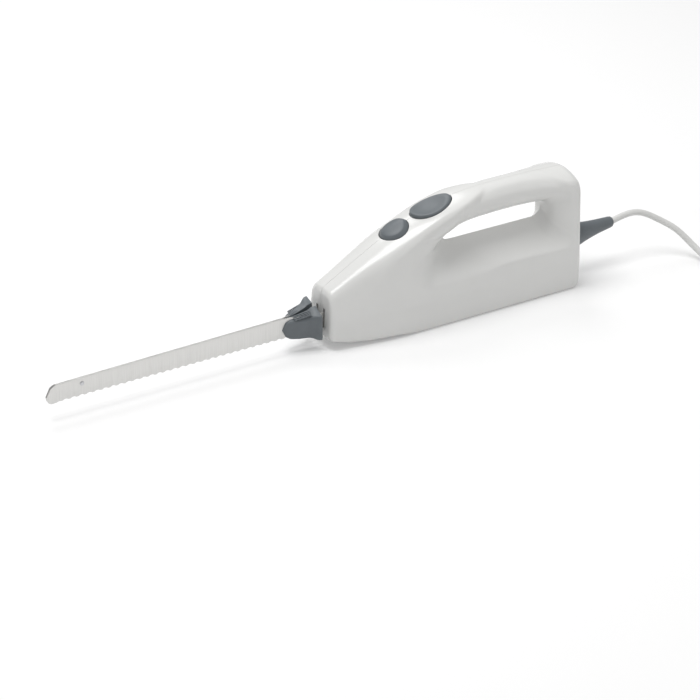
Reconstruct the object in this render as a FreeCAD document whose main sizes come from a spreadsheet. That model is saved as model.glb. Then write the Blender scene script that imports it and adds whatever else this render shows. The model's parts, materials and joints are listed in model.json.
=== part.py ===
"""Corded electric carving knife with two reciprocating serrated blades.

Millimetres, +Z up. The knife rests on the flat underside of its housing at z = 0, the blades
point to -X, the cord leaves at +X and the plane y = 0 is the joint of the two housing halves.
Every size is a cell of the sheet below; each sub-part is bound to those cells.
"""
import FreeCAD, Part
import math
import os
import re
import Sketcher
from FreeCAD import Placement, Rotation, Vector

# alias, millimetres (or degrees), meaning
SIZES = [
    # housing
    ("nose_x", 133, "front face, ahead of the origin"),
    ("tail_x", 100, "rear face, behind the origin"),
    ("top_z", 104, "top of the handle"),
    ("housing_wide", 55, "widest part of the housing"),
    ("nose_wide", 37, "width of the front face"),
    ("nose_top", 46.5, "top of the front face"),
    ("chin", 8, "lift of the front face off the table"),
    ("brow_slope", 31, "slope of the top just behind the front face, degrees"),
    ("crown_end", 80, "where the handle's top stops being curved"),
    ("flat_front", 60, "front end of the flat underside"),
    ("swell_x", 95, "where the plan outline swells"),
    ("full_x", 45, "where the plan outline is at full width"),
    ("corner", 11, "radius of the housing's long edges"),
    ("wall", 2.4, "housing wall"),
    ("grip_wide", 27, "width of the handle bar"),
    ("roof_z", 59.4, "ridge of the roof under the handle"),
    ("roof_slope", 36, "slope of that roof, degrees"),
    ("loop_front", 34, "front end of the finger opening"),
    ("loop_rear", 68, "rear end of the finger opening"),
    ("loop_top", 79, "underside of the handle bar"),
    ("loop_round", 9, "corner radius of the finger opening"),
    ("scoop_front", 60, "front end of the hollow beside the handle"),
    ("grip_start", 5, "where the handle bar becomes straight"),
    ("grip_end", 55, "where the handle bar begins to widen"),
    ("grip_swing", 75, "where the hollow swings out to the rear corner"),
    ("nose_slot", 1.6, "half width of the slots in the front face"),
    ("vent_in", 5, "inner end of a vent slot, from the joint plane"),
    ("vent_long", 15, "length of a vent slot"),
    ("vent_wide", 2.6, "width of a vent slot"),
    ("vent_pitch", 7, "spacing of the vent slots"),
    ("vent_count", 6, "vent slots along each half"),
    # fasteners and clearances
    ("screw_r", 1.5, "housing screw shank radius"),
    ("screw_head_r", 3, "housing screw head radius"),
    ("screw_head", 2, "housing screw head height"),
    ("screw_long", 14, "housing screw shank length"),
    ("screw_seat", 8, "depth of the screw head seat from the joint plane"),
    ("boss_r", 3.6, "screw boss radius"),
    ("free_gap", 0.2, "clearance of a screw or of a loose fit"),
    ("seat_gap", 0.02, "clearance of a pressed or glued seat"),
    ("run_gap", 0.05, "radial clearance of a running fit"),
    ("slide_gap", 0.15, "clearance of a sliding fit"),
    # gearbox frame
    ("plate_z", 7, "underside of the frame's base plate"),
    ("plate_thick", 3, "base plate thickness"),
    ("frame_half", 14.5, "half width of the frame"),
    ("cheek", 2.5, "thickness of the frame's side cheeks"),
    ("cheek_top", 50, "top of the cheeks"),
    ("frame_front", 112, "front end of the frame"),
    ("guide_long", 10, "length of the front guide"),
    ("gear_x", 53, "drive gear axis, ahead of the origin"),
    ("gear_z", 44, "drive gear axis height"),
    ("shaft_z", 25, "motor shaft height"),
    # gears
    ("teeth", 20, "drive gear teeth"),
    ("module_size", 1.5, "tooth module"),
    ("gear_wide", 7, "drive gear face width"),
    ("axle_r", 2.5, "gear axle radius"),
    ("worm_root", 2.7, "worm root radius"),
    ("worm_tip", 5.2, "worm thread radius"),
    ("worm_long", 18, "worm length"),
    ("thread_thick", 1.3, "worm thread thickness at its middle"),
    ("throw", 3, "eccentric offset, half the blade stroke"),
    ("eccentric_r", 7.5, "eccentric radius"),
    ("eccentric_thick", 2.6, "eccentric thickness"),
    # blade carriers
    ("yoke_in", 6.5, "inner face of a carrier's yoke plate"),
    ("yoke_out", 9, "outer face of a carrier"),
    ("yoke_rim", 3.5, "rim around the yoke window"),
    ("bar_in", 2.2, "inner face of a carrier bar"),
    ("bar_low", 14.5, "underside of a carrier bar"),
    ("bar_high", 31.5, "top of a carrier bar"),
    ("bar_front", 126, "front end of a carrier bar"),
    ("bar_rear", 80, "rear end of a carrier bar"),
    # blades
    ("blade_y", 5, "distance of each blade tang from the joint plane"),
    ("blade_thick", 1, "blade thickness"),
    ("blade_spine", 30.6, "height of the blade's back"),
    ("blade_edge", 12.6, "height of the blade's toothed edge"),
    ("blade_tip_x", 369, "tip of the blades, ahead of the origin"),
    ("blade_root_x", 150, "rear end of the full-width blade"),
    ("blade_gap", 0.25, "gap from each blade to the joint plane"),
    ("tang_low", 16.5, "underside of the tang"),
    ("tang_high", 29.5, "top of the tang"),
    ("tang_end", 108, "rear end of the tang"),
    ("tooth_pitch", 6.5, "pitch of the blade's scallops"),
    ("tooth_deep", 1.4, "depth of the scallops"),
    ("rivet_r", 1.8, "radius of the stud near the tip"),
    ("tab_front", 171, "front end of a blade tab"),
    ("tab_rear", 139.5, "rear end of a blade tab"),
    ("tab_low", 9, "underside of a blade tab"),
    ("tab_high", 35, "top of a blade tab's flange"),
    ("tab_out", 13.5, "outer side of a blade tab at its flange"),
    # controls
    ("button_x", 66.4, "blade release button, ahead of the origin"),
    ("button_z", 83.4, "blade release button's surface height"),
    ("button_tilt", 26, "tilt of the release button, degrees"),
    ("button_r", 12.6, "release button radius"),
    ("button_deep", 7, "release button thickness below the surface"),
    ("button_proud", 2.2, "release button height above the surface"),
    ("trigger_x", 32.2, "trigger, ahead of the origin"),
    ("trigger_z", 96, "trigger's surface height"),
    ("trigger_tilt", 12, "tilt of the trigger, degrees"),
    ("trigger_long", 37, "trigger length"),
    ("trigger_wide", 25, "trigger width"),
    ("trigger_deep", 6, "trigger thickness below the surface"),
    ("trigger_proud", 1.4, "trigger height above the surface"),
    ("button_gap", 0.5, "gap around the release button"),
    ("trigger_gap", 0.8, "gap around the trigger"),
    ("lap_wide", 3, "how far the left half laps under the right one"),
    ("lap_long", 90, "length of that lap"),
    ("pivot_x", 8, "trigger pivot, ahead of the origin"),
    ("pivot_z", 91, "trigger pivot height"),
    ("pin_r", 1.5, "trigger pin radius"),
    ("deck_z", 63.5, "top of the deck that carries the switch"),
    ("switch_x", 48, "switch plunger, ahead of the origin"),
    ("switch_tall", 10, "microswitch height"),
    ("plunger_r", 1.2, "switch plunger radius"),
    ("plunger_up", 3, "height of the plunger above the switch"),
    ("spring_wire", 0.45, "spring wire radius"),
    ("spring_r", 3, "spring mean radius"),
    ("spring_pitch", 2, "spring pitch"),
    # motor
    ("motor_x", 22, "front face of the stator"),
    ("stator_long", 26, "stator length"),
    ("stator_r", 21, "stator radius"),
    ("bore_r", 12, "stator bore radius"),
    ("coil_in", 14.2, "inner radius of the field coils"),
    ("coil_out", 18.3, "outer radius of the field coils"),
    ("coil_end", 4, "length of the field coils beyond the stator"),
    ("rotor_r", 11.2, "armature core radius"),
    ("rotor_slots", 12, "slots of the armature core"),
    ("shaft_r", 2.5, "motor shaft radius"),
    ("shaft_front", 74, "front end of the motor shaft"),
    ("shaft_rear", 82, "rear end of the motor shaft"),
    ("bearing_r", 6, "bearing outer radius"),
    ("bearing_long", 4, "bearing width"),
    ("fan_r", 15.5, "fan radius"),
    ("fan_long", 4, "fan width"),
    ("fan_blades", 9, "fan blades"),
    ("commutator_r", 7, "commutator radius"),
    ("commutator_long", 10, "commutator length"),
    ("bolt_r", 1.5, "motor bolt radius"),
    ("bolt_ring", 18.8, "distance of the motor bolts from the shaft"),
    # cord
    ("cord_r", 2.7, "mains cord radius"),
    ("relief_long", 49.5, "strain relief length outside the housing"),
    ("relief_root", 11, "strain relief root radius"),
    ("relief_tip", 4.5, "strain relief tip radius"),
    ("relief_tilt", 4.8, "upward tilt of the strain relief, degrees"),
    ("relief_z", 32.6, "height of the strain relief's axis at the rear wall"),
    ("neck_r", 6.5, "strain relief neck radius in the rear wall"),
    ("coil_x", 254, "cord coil centre, behind the origin"),
    ("coil_y", 60, "cord coil centre, to the left of the joint plane"),
    ("coil_mean", 30, "mean radius of the cord coil"),
    ("plug_long", 36, "plug body length"),
    ("plug_wide", 35.3, "plug body width"),
    ("plug_tall", 13.7, "plug body height"),
    ("plug_pin_r", 2, "plug pin radius"),
    ("plug_pin_long", 19, "plug pin length"),
    ("plug_pin_apart", 18.6, "distance between the plug pins"),
]

# the screws that close the housing: (x, z), clear of the works
SCREWS = {"chin": (-121, 10.4), "brow": (-126, 43), "cheek": (-95, 41), "belly": (-20, 15),
          "heel": (91, 11), "pillar": (85, 66), "grip": (14, 92.5)}

# where the gear frame is screwed down, and where its front end only rests: (x, y)
FRAME_SCREWS = [("-24", "-10.5"), ("-24", "10.5"), ("motor_x - 18", "-10.5"), ("motor_x - 18", "10.5")]
FRAME_RESTS = [("-frame_front + 6", "-10.5"), ("-frame_front + 6", "10.5")]

# the cord's route from the strain relief to the coil, chosen by hand
CORD_POINTS = [(149.3, 0, 36.74), (164, 0, 40.6), (180, -2.5, 40.4), (194.5, -9, 34),
               (205.5, -19, 24), (213, -31, 12.8), (217.2, -44.5, 5), (218.6, -60, 2.75)]
# the cord's short tail from the coil to the plug
TAIL_POINTS = [(289.4, -60, 2.75), (289.4, -48, 3), (289.4, -37, 6.3), (289.4, -25, 6.85)]

doc = FreeCAD.newDocument("carving_knife")
sheet = doc.addObject("Spreadsheet::Sheet", "Sizes")
for row, (alias, value, meaning) in enumerate(SIZES, 1):
    sheet.set(f"A{row}", str(value))
    sheet.setAlias(f"A{row}", alias)
    sheet.set(f"B{row}", meaning)
doc.recompute()

ALIASES = re.compile(r"\b(" + "|".join(alias for alias, _, _ in SIZES) + r")\b")
AXES = {"X": Rotation(Vector(0, 1, 0), 90), "Y": Rotation(Vector(1, 0, 0), -90), "Z": Rotation()}
NODES = []


def size(alias):
    """A driving dimension's value, for shapes that are computed."""
    return float(sheet.get(alias))


def bind(item, **expressions):
    """Bind properties to expressions written with the sheet's aliases; __ stands for a dot."""
    for name, text in expressions.items():
        item.setExpression(name.replace("__", "."), ALIASES.sub(r"Sizes.\1", str(text)))
    return item


def node(item, label):
    """Name a finished sub-part; its label names its file."""
    item.Label = label
    NODES.append(item)
    return item


def block(x, y, z):
    """A box from (low, high) pairs of expressions."""
    item = doc.addObject("Part::Box", "block")
    for side, axis, (low, high) in zip(("Length", "Width", "Height"), "xyz", (x, y, z)):
        bind(item, **{side: f"({high}) - ({low})", f"Placement__Base__{axis}": low})
    return item


def rod(axis, low, high, a, b, radius, kind="Part::Cylinder"):
    """A cylinder along an axis, from low to high; a and b are its other two coordinates."""
    item = doc.addObject(kind, "rod")
    item.Placement = Placement(Vector(), AXES[axis])
    first, second = [letter for letter in "XYZ" if letter != axis]
    bind(item, Radius=radius, Height=f"({high}) - ({low})")
    bind(item, **{f"Placement__Base__{axis.lower()}": low})
    bind(item, **{f"Placement__Base__{first.lower()}": a, f"Placement__Base__{second.lower()}": b})
    return item


def join(*items):
    """Fuse pieces; pieces that do not touch stay separate solids of one group."""
    item = doc.addObject("Part::MultiFuse", "joined")
    item.Shapes = list(items)
    return item


def cut(base, *tools):
    """Take tools away from a base."""
    item = doc.addObject("Part::Cut", "cut")
    item.Base = base
    item.Tool = tools[0] if len(tools) == 1 else join(*tools)
    return item


def both(first, second):
    """What two pieces have in common."""
    item = doc.addObject("Part::MultiCommon", "common")
    item.Shapes = [first, second]
    return item


def computed(name, shape):
    """A sub-part whose shape no feature fits."""
    item = doc.addObject("Part::Feature", name)
    item.Shape = shape
    item.Placement = Placement()
    return item


def turned(item, degrees, axis=(1, 0, 0), centre=None):
    """A copy of a piece turned about an axis through a centre (the motor shaft by default)."""
    centre = centre or Vector(0, 0, size("shaft_z"))
    copy = doc.addObject("Part::Compound", "turned")
    copy.Links = [item]
    copy.Placement = Placement(Vector(), Rotation(Vector(*axis), degrees), centre)
    return copy


def origin_plane(body, role):
    return [feature for feature in body.Origin.OriginFeatures if feature.Role == role][0]


def outline(sketch, points):
    """A closed polygon whose corners are bound to pairs of expressions."""
    count = len(points)
    for index in range(count):
        after = (index + 1) % count
        start = Vector(index, index * index, 0)
        sketch.addGeometry(Part.LineSegment(start, Vector(after, after * after, 0)), False)
    for index in range(count):
        sketch.addConstraint(Sketcher.Constraint("Coincident", index, 2, (index + 1) % count, 1))
    for index, pair in enumerate(points):
        for kind, text in zip(("DistanceX", "DistanceY"), pair):
            place = sketch.addConstraint(Sketcher.Constraint(kind, -1, 1, index, 1, 1.0))
            bind(sketch, **{f"Constraints[{place}]": text})


def sketch_in(body, role, points, offset="0"):
    """A polygon sketch on one of a body's own origin planes."""
    sketch = body.newObject("Sketcher::SketchObject", "sketch")
    sketch.AttachmentSupport = [(origin_plane(body, role), "")]
    sketch.MapMode = "FlatFace"
    bind(sketch, AttachmentOffset__Base__z=offset)
    outline(sketch, points)
    return sketch


def slab(plane, points, low, high):
    """A PartDesign body padded from a polygon, between two heights along the plane's normal."""
    body = doc.addObject("PartDesign::Body", "slab")
    offset = f"-({high})" if plane == "XZ" else low
    pad = body.newObject("PartDesign::Pad", "pad")
    pad.Profile = sketch_in(body, plane + "_Plane", points, offset)
    bind(pad, Length=f"({high}) - ({low})")
    return body


def rectangle(a_low, a_high, b_low, b_high):
    return [(a_low, b_low), (a_high, b_low), (a_high, b_high), (a_low, b_high)]


def curve(*poles):
    """A straight edge between two points, or a Bezier edge over more."""
    if len(poles) == 2:
        return Part.LineSegment(Vector(*poles[0]), Vector(*poles[1])).toShape()
    bezier = Part.BezierCurve()
    bezier.setPoles([Vector(*pole) for pole in poles])
    return bezier.toShape()


def prism(points, direction):
    """A straight-sided solid from a closed polygon."""
    corners = [Vector(*point) for point in points]
    return Part.Face(Part.makePolygon(corners + corners[:1])).extrude(Vector(*direction))


# ---------------------------------------------------------------- housing
DEEP = 200  # longer than any cutting piece needs


def side_outline(inset):
    """The housing's side view as a face, moved inwards by inset."""
    slope = math.radians(size("brow_slope"))
    front = -size("nose_x") + inset
    rear = size("tail_x") - inset
    top = size("top_z") - inset
    brow = size("nose_top") - inset / math.cos(slope) + inset * math.tan(slope)
    meet = front + (top - brow) / math.tan(slope)
    chin = size("chin") + inset
    bottom = inset
    flat = -size("flat_front")
    middle = (flat - size("nose_x")) / 2

    def at(x, z):
        return (x, -DEEP, z)
    edges = [curve(at(front, chin), at(front, brow)),
             curve(at(front, brow), at(meet, top), at(meet, top), at(size("crown_end"), top)),
             curve(at(size("crown_end"), top), at(rear, top)),
             curve(at(rear, top), at(rear, bottom)),
             curve(at(rear, bottom), at(flat, bottom)),
             curve(at(flat, bottom), at(middle, bottom), at(front, chin))]
    return Part.Face(Part.Wire(edges))


def plan_outline(inset, height, draft):
    """The housing's outline seen from above, at one height."""
    nose = size("nose_wide") / 2 - draft - inset
    wide = size("housing_wide") / 2 - draft - inset
    front = -size("nose_x") + inset - 2
    rear = size("tail_x") - inset
    swell = -size("swell_x")
    full = -size("full_x")
    left = [(front, -nose, height), (swell, -wide, height), (full, -wide, height)]
    right = [(x, -y, z) for x, y, z in reversed(left)]
    return Part.Wire([curve(*left), curve(left[-1], (rear, -wide, height)),
                      curve((rear, -wide, height), (rear, wide, height)),
                      curve((rear, wide, height), right[0]), curve(*right),
                      curve(right[-1], left[0])])


def long_edges(shape, rear, top):
    """The edges that are rounded: along the top, down the rear corners and round the heel."""
    chosen = []
    for edge in shape.Edges:
        bounds = edge.BoundBox
        centre = edge.CenterOfMass
        behind = bounds.XMin > rear - 0.01
        if behind and (bounds.ZLength > 30 or centre.z > top - 1):
            chosen.append(edge)
        elif abs(centre.y) > 8 and bounds.XLength > 10 and centre.z > top / 3:
            chosen.append(edge)
    return chosen


def full_form(inset):
    """The housing before the handle is opened: side view and plan view in common, rounded."""
    side = side_outline(inset).extrude(Vector(0, 2 * DEEP, 0))
    levels = [plan_outline(inset, -2, 1), plan_outline(inset, 45, 0),
              plan_outline(inset, size("top_z") + 6, 4.5)]
    form = side.common(Part.makeLoft(levels, True, False)).Solids[0]
    edges = long_edges(form, size("tail_x") - inset, size("top_z") - inset)
    return form.makeFillet(size("corner") - inset, edges)


def above_roof(grow, inner):
    """The space above the roof, beyond inner from the middle plane on both sides."""
    fall = math.tan(math.radians(size("roof_slope")))
    drop = grow / math.cos(math.radians(size("roof_slope")))
    ridge = size("roof_z") - drop
    spaces = []
    for sign in (-1, 1):
        points = [(-DEEP, sign * inner, ridge - inner * fall), (-DEEP, sign * 60, ridge - 60 * fall),
                  (-DEEP, sign * 60, DEEP), (-DEEP, sign * inner, DEEP)]
        spaces.append(prism(points, (2 * DEEP, 0, 0)))
    return spaces


def finger_loop(grow):
    """The opening that the fingers go through, grown on every side."""
    front = -size("loop_front") - grow
    rear = size("loop_rear") + grow
    top = size("loop_top") + grow
    box = Part.makeBox(rear - front, 2 * DEEP, top, Vector(front, -DEEP, 0))
    upper = [edge for edge in box.Edges if edge.BoundBox.YLength > DEEP
             and edge.CenterOfMass.z > top / 2]
    box = box.makeFillet(size("loop_round") + grow, upper)
    halves = [box.common(space) for space in above_roof(grow, 0)]
    return halves[0].fuse(halves[1])


def side_scoops(grow):
    """The hollows on both sides of the handle bar, above the roof."""
    grip = size("grip_wide") / 2 - grow
    wide = size("housing_wide") / 2 + 2
    front = -size("scoop_front") - grow
    rear = size("tail_x") - 5 + grow
    swept = size("loop_front")
    start, end, swing = size("grip_start"), size("grip_end"), size("grip_swing")
    scoops = []
    for sign, space in zip((-1, 1), above_roof(grow, 0)):
        edges = [curve((front, sign * wide, 0), (-swept - 8, sign * (grip + 5), 0),
                       (-swept + 14, sign * grip, 0), (start, sign * grip, 0)),
                 curve((start, sign * grip, 0), (end, sign * grip, 0)),
                 curve((end, sign * grip, 0), (swing, sign * grip, 0), (rear, sign * wide, 0)),
                 curve((rear, sign * wide, 0), (front, sign * wide, 0))]
        plan = Part.Face(Part.Wire(edges)).extrude(Vector(0, 0, DEEP))
        outside = Part.makeBox(2 * DEEP, 60, DEEP, Vector(-DEEP, -60 if sign < 0 else 0, 0))
        scoops.append(plan.common(space).common(outside))
    return scoops


def housing_form(inset):
    form = full_form(inset)
    for tool in [finger_loop(inset)] + side_scoops(inset):
        form = form.cut(tool)
    return form


def tilted(shape_type, alias, low, high, **sizes):
    """A round or oval piece square to a sloping control: alias names the control."""
    item = doc.addObject(shape_type, alias + "_piece")
    bind(item, **sizes)
    return place_tilted(item, alias, low, high)


def place_tilted(item, alias, low, high):
    lean = math.radians(size(alias + "_tilt"))
    rise = Vector(-math.sin(lean), 0, math.cos(lean))
    centre = Vector(-size(alias + "_x"), 0, size(alias + "_z"))
    turn = Rotation(Vector(0, 1, 0), -size(alias + "_tilt"))
    if item.TypeId == "Part::Cylinder":
        item.Height = high - low
        item.Placement = Placement(centre + rise * low, turn)
        return item
    item.Placement = Placement(centre + rise * low, turn)
    solid = doc.addObject("Part::Extrusion", alias + "_solid")
    solid.Base = item
    solid.DirMode = "Custom"
    solid.Dir = rise
    solid.LengthFwd = high - low
    solid.Solid = True
    return solid


def nose_slots():
    """The slots that the blade tangs slide in."""
    slots = []
    for sign in ("-", ""):
        middle = f"{sign}blade_y"
        slots.append(block(("-nose_x - 3", "-nose_x + wall + 4"), (f"{middle} - nose_slot", f"{middle} + nose_slot"),
                           ("tang_low - 1.5", "tang_high + 1.5")))
    return slots


def vents():
    slots = []
    for index in range(int(size("vent_count"))):
        for sign in (-1, 1):
            x = f"motor_x - 8 + {index} * vent_pitch"
            y = ("-vent_in - vent_long", "-vent_in") if sign < 0 else ("vent_in", "vent_in + vent_long")
            slots.append(block((x, f"{x} + vent_wide"), y, ("-3", "wall + 1")))
    return slots


def boss_set():
    """Bosses, posts and pivot lugs that stand inside the housing."""
    bosses = [rod("Y", "-30", "30", x, z, "boss_r") for x, z in SCREWS.values()]
    for sign in (-1, 1):
        span = ("-30", "-7.2") if sign < 0 else ("7.2", "30")
        bosses.append(rod("Y", *span, "-pivot_x", "pivot_z", "pin_r + 2.2"))
    for x, y in FRAME_SCREWS + FRAME_RESTS:
        bosses.append(rod("Z", "0.5", "plate_z", x, y, "boss_r"))
    for y in ("-6.5", "6.5"):
        bosses.append(rod("Z", "0.5", "relief_z - 0.4", "tail_x - 13", y, "2.6"))
    return bosses


def housing_holes():
    """Everything that is cut through the finished wall."""
    holes = nose_slots() + vents()
    for x, z in SCREWS.values():
        holes.append(rod("Y", "-1", "screw_seat + 1", x, z, "screw_r + free_gap"))
        holes.append(rod("Y", "screw_seat", "40", x, z, "screw_head_r + free_gap"))
        holes.append(rod("Y", "screw_seat - screw_long - 0.5", "0", x, z, "screw_r + seat_gap"))
    holes.append(rod("Y", "-10.2", "10.2", "-pivot_x", "pivot_z", "pin_r + seat_gap"))
    for x, y in FRAME_SCREWS:
        holes.append(rod("Z", "1.2", "plate_z + 1", x, y, "screw_r + seat_gap"))
    for y in ("-6.5", "6.5"):
        holes.append(rod("Z", "relief_z - 11", "relief_z + 1", "tail_x - 13", y, "1.2 + seat_gap"))
    holes.append(rod("X", "tail_x - wall - 3", "tail_x + 3", "0", "relief_z", "neck_r + seat_gap"))
    holes.append(tilted("Part::Cylinder", "button", -size("button_deep") - 6, 12,
                        Radius="button_r + button_gap"))
    holes.append(tilted("Part::Ellipse", "trigger", -size("trigger_deep") - 3.5, 12,
                        MajorRadius="trigger_long / 2 + trigger_gap",
                        MinorRadius="trigger_wide / 2 + trigger_gap"))
    return holes


def base_lap():
    """The strip of the underside that the left half carries across the middle."""
    return block(("-lap_long / 2", "lap_long / 2"), ("-1", "lap_wide"), ("-1", "wall / 2"))


def housing():
    outside = computed("housing_outside", housing_form(0))
    inside = computed("housing_inside", housing_form(size("wall")))
    walled = cut(outside, cut(inside, *boss_set()))
    opened = cut(walled, *housing_holes())
    left_side = block(("-150", "tail_x + 5"), ("-40", "0"), ("-5", "top_z + 5"))
    right_side = block(("-150", "tail_x + 5"), ("0", "40"), ("-5", "top_z + 5"))
    node(both(opened, join(left_side, base_lap())), "shell_left")
    node(cut(both(opened, right_side), base_lap()), "shell_right")


def housing_screws():
    screws = []
    for x, z in SCREWS.values():
        shank = rod("Y", "screw_seat - screw_long", "screw_seat", x, z, "screw_r")
        head = rod("Y", "screw_seat", "screw_seat + screw_head", x, z, "screw_head_r")
        socket = rod("Y", "screw_seat + screw_head - 1.2", "screw_seat + screw_head + 1", x, z, "1.2")
        screws.append(cut(join(shank, head), socket))
    node(join(*screws), "housing_screws")


# ---------------------------------------------------------------- gearbox frame
def gear_frame():
    """The moulded frame that carries the gears, the carriers and the motor's front bearing."""
    top = "plate_z + plate_thick"
    half = ("-frame_half", "frame_half")
    plate = block(("-frame_front", "motor_x - 10"), half, ("plate_z", top))
    front_guide = block(("-frame_front + 2", "-frame_front + 2 + guide_long"), half, (top, "bar_high + 2.5"))
    rear_guide = block(("-bar_rear - 12", "-bar_rear - 7"), half, (top, "bar_high + 2.5"))
    cheeks = [block(("-gear_x - 21", "-gear_x + 12"), side, (top, "cheek_top"))
              for side in (("-frame_half", "-frame_half + cheek"), ("frame_half - cheek", "frame_half"))]
    nose_bearing = block(("-shaft_front - 1.5", "-shaft_front + 4.5"), ("-5.8", "5.8"), (top, "shaft_z + 6"))
    bulkhead = block(("motor_x - 14", "motor_x - 10"), half, (top, "shaft_z + 17"))
    toes = [block(("motor_x - 14", "motor_x"), ("-3.5", "3.5"), span)
            for span in (("shaft_z + fan_r + 0.8", "shaft_z + bolt_ring + 3"),
                         ("shaft_z - bolt_ring - 1.2", "shaft_z - fan_r - 0.6"))]
    solid = join(plate, front_guide, rear_guide, *cheeks, nose_bearing, bulkhead, *toes)
    holes = []
    for sign in (-1, 1):
        low, high = ("bar_in - slide_gap", "yoke_out + slide_gap")
        side = (low, high) if sign > 0 else (f"-({high})", f"-({low})")
        holes.append(block(("-frame_front", "-bar_rear - 6"), side,
                           ("bar_low - slide_gap", "bar_high + slide_gap")))
    holes.append(rod("Y", "-20", "20", "-gear_x", "gear_z", "axle_r + seat_gap"))
    holes.append(rod("X", "-shaft_front - 3", "-shaft_front + 6", "0", "shaft_z", "shaft_r + run_gap"))
    holes.append(rod("X", "motor_x - 16", "motor_x - 9", "0", "shaft_z", "bearing_r + seat_gap"))
    for z in ("shaft_z + bolt_ring", "shaft_z - bolt_ring"):
        holes.append(rod("X", "motor_x - 15", "motor_x + 1", "0", z, "bolt_r + seat_gap"))
    for x, y in FRAME_SCREWS:
        holes.append(rod("Z", "plate_z - 1", "plate_z + plate_thick + 1", x, y, "screw_r + free_gap"))
    node(cut(solid, *holes), "gear_frame")


def frame_screws():
    screws = []
    for x, y in FRAME_SCREWS:
        seat = "plate_z + plate_thick"
        shank = rod("Z", "1.6", seat, x, y, "screw_r")
        screws.append(join(shank, rod("Z", seat, f"{seat} + 1.8", x, y, "screw_head_r - 0.2")))
    node(join(*screws), "frame_screws")


def switch_deck():
    """The sheet-metal deck over the gears that carries the switch and the release spring."""
    top = "deck_z"
    deck = block(("-gear_x - 22", "-gear_x + 15"), ("-frame_half", "frame_half"), (f"{top} - 1.5", top))
    legs = [block(("-gear_x - 6", "-gear_x + 8"), side, ("cheek_top", f"{top} - 1.5"))
            for side in (("-frame_half", "-frame_half + 1.5"), ("frame_half - 1.5", "frame_half"))]
    node(join(deck, *legs), "switch_deck")


# ---------------------------------------------------------------- gears and carriers
def drive_gear():
    """The worm wheel: a hub with teeth patterned round it, bored for its axle."""
    pitch_r = "module_size * teeth / 2"
    body = doc.addObject("PartDesign::Body", "wheel")
    rim = f"{pitch_r} - 1.2 * module_size"
    disc = body.newObject("PartDesign::Revolution", "disc")
    disc.Profile = sketch_in(body, "YZ_Plane", rectangle("-gear_wide / 2", "gear_wide / 2",
                                                         "axle_r + run_gap", rim))
    disc.ReferenceAxis = (disc.Profile[0], ["H_Axis"])
    tooth = body.newObject("PartDesign::Pad", "tooth")
    tooth.Profile = sketch_in(body, "XZ_Plane", [
        ("-0.7 * module_size", f"0.5 - ({rim})"), ("0.7 * module_size", f"0.5 - ({rim})"),
        ("0.22 * module_size", f"-({pitch_r} + 0.7 * module_size)"),
        ("-0.22 * module_size", f"-({pitch_r} + 0.7 * module_size)")], "-gear_wide / 2")
    bind(tooth, Length="gear_wide")
    pattern = body.newObject("PartDesign::PolarPattern", "teeth_ring")
    pattern.Originals = [tooth]
    pattern.Axis = (origin_plane(body, "Y_Axis"), [""])
    bind(pattern, Occurrences="teeth")
    body.Tip = pattern
    bind(body, Placement__Base__x="-gear_x", Placement__Base__z="gear_z")
    node(body, "drive_gear")


def eccentrics():
    """Two discs on the drive gear, half a turn apart; each pushes one carrier."""
    for label, sign, lift in (("eccentric_left", -1, "throw"), ("eccentric_right", 1, "-throw")):
        near = "gear_wide / 2"
        far = f"{near} + eccentric_thick"
        span = (near, far) if sign > 0 else (f"-({far})", f"-({near})")
        disc = rod("Y", *span, "-gear_x", f"gear_z + {lift}", "eccentric_r")
        node(cut(disc, rod("Y", "-20", "20", "-gear_x", "gear_z", "axle_r + run_gap")), label)


def carriers():
    """Each blade's carrier: a bar in the frame's guides, and a yoke plate round its eccentric."""
    window_x = "eccentric_r + 0.1"
    window_z = "eccentric_r + throw + 0.3"
    for label, sign in (("carrier_left", -1), ("carrier_right", 1)):
        def side(near, far, sign=sign):
            return (near, far) if sign > 0 else (f"-({far})", f"-({near})")
        plate_span = side("yoke_in", "yoke_out")
        rear = f"-gear_x + {window_x} + yoke_rim"
        front = f"-gear_x - ({window_x}) - yoke_rim"
        high = f"gear_z + {window_z} + yoke_rim - 0.5"
        low = f"gear_z - ({window_z}) - yoke_rim + 0.5"
        body = slab("XZ", [("-bar_rear - 4", "bar_low"), ("-bar_rear + 4", "bar_low"),
                           (front, low), (rear, low), (rear, high), (front, high),
                           ("-bar_rear - 4", "bar_high")], *plate_span)
        bar = block(("-bar_front", "-bar_rear"), side("bar_in", "yoke_out"), ("bar_low", "bar_high"))
        window = block((f"-gear_x - ({window_x})", f"-gear_x + {window_x}"), side("1", "20"),
                       (f"gear_z - ({window_z})", f"gear_z + {window_z}"))
        pocket = block(("-bar_front - 1", "-tang_end + 1"),
                       side("blade_y - blade_thick / 2 - slide_gap", "blade_y + blade_thick / 2 + slide_gap"),
                       ("tang_low - slide_gap", "tang_high + slide_gap"))
        node(cut(join(body, bar), window, pocket), label)


def catches():
    """Spring-steel catches on the carriers that hold the blade tangs."""
    for label, sign in (("catch_left", -1), ("catch_right", 1)):
        span = ("3.2", "8") if sign > 0 else ("-8", "-3.2")
        points = [("-frame_front - 1", "bar_high"),
                  ("-frame_front - 1", "bar_high + 0.8"), ("-bar_front + 11", "bar_high + 0.8"),
                  ("-bar_front + 4", "bar_high + 2.6"), ("-bar_front + 4", "bar_high + 1.8"),
                  ("-bar_front + 10.8", "bar_high")]
        node(slab("XZ", points, *span), label)


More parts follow.
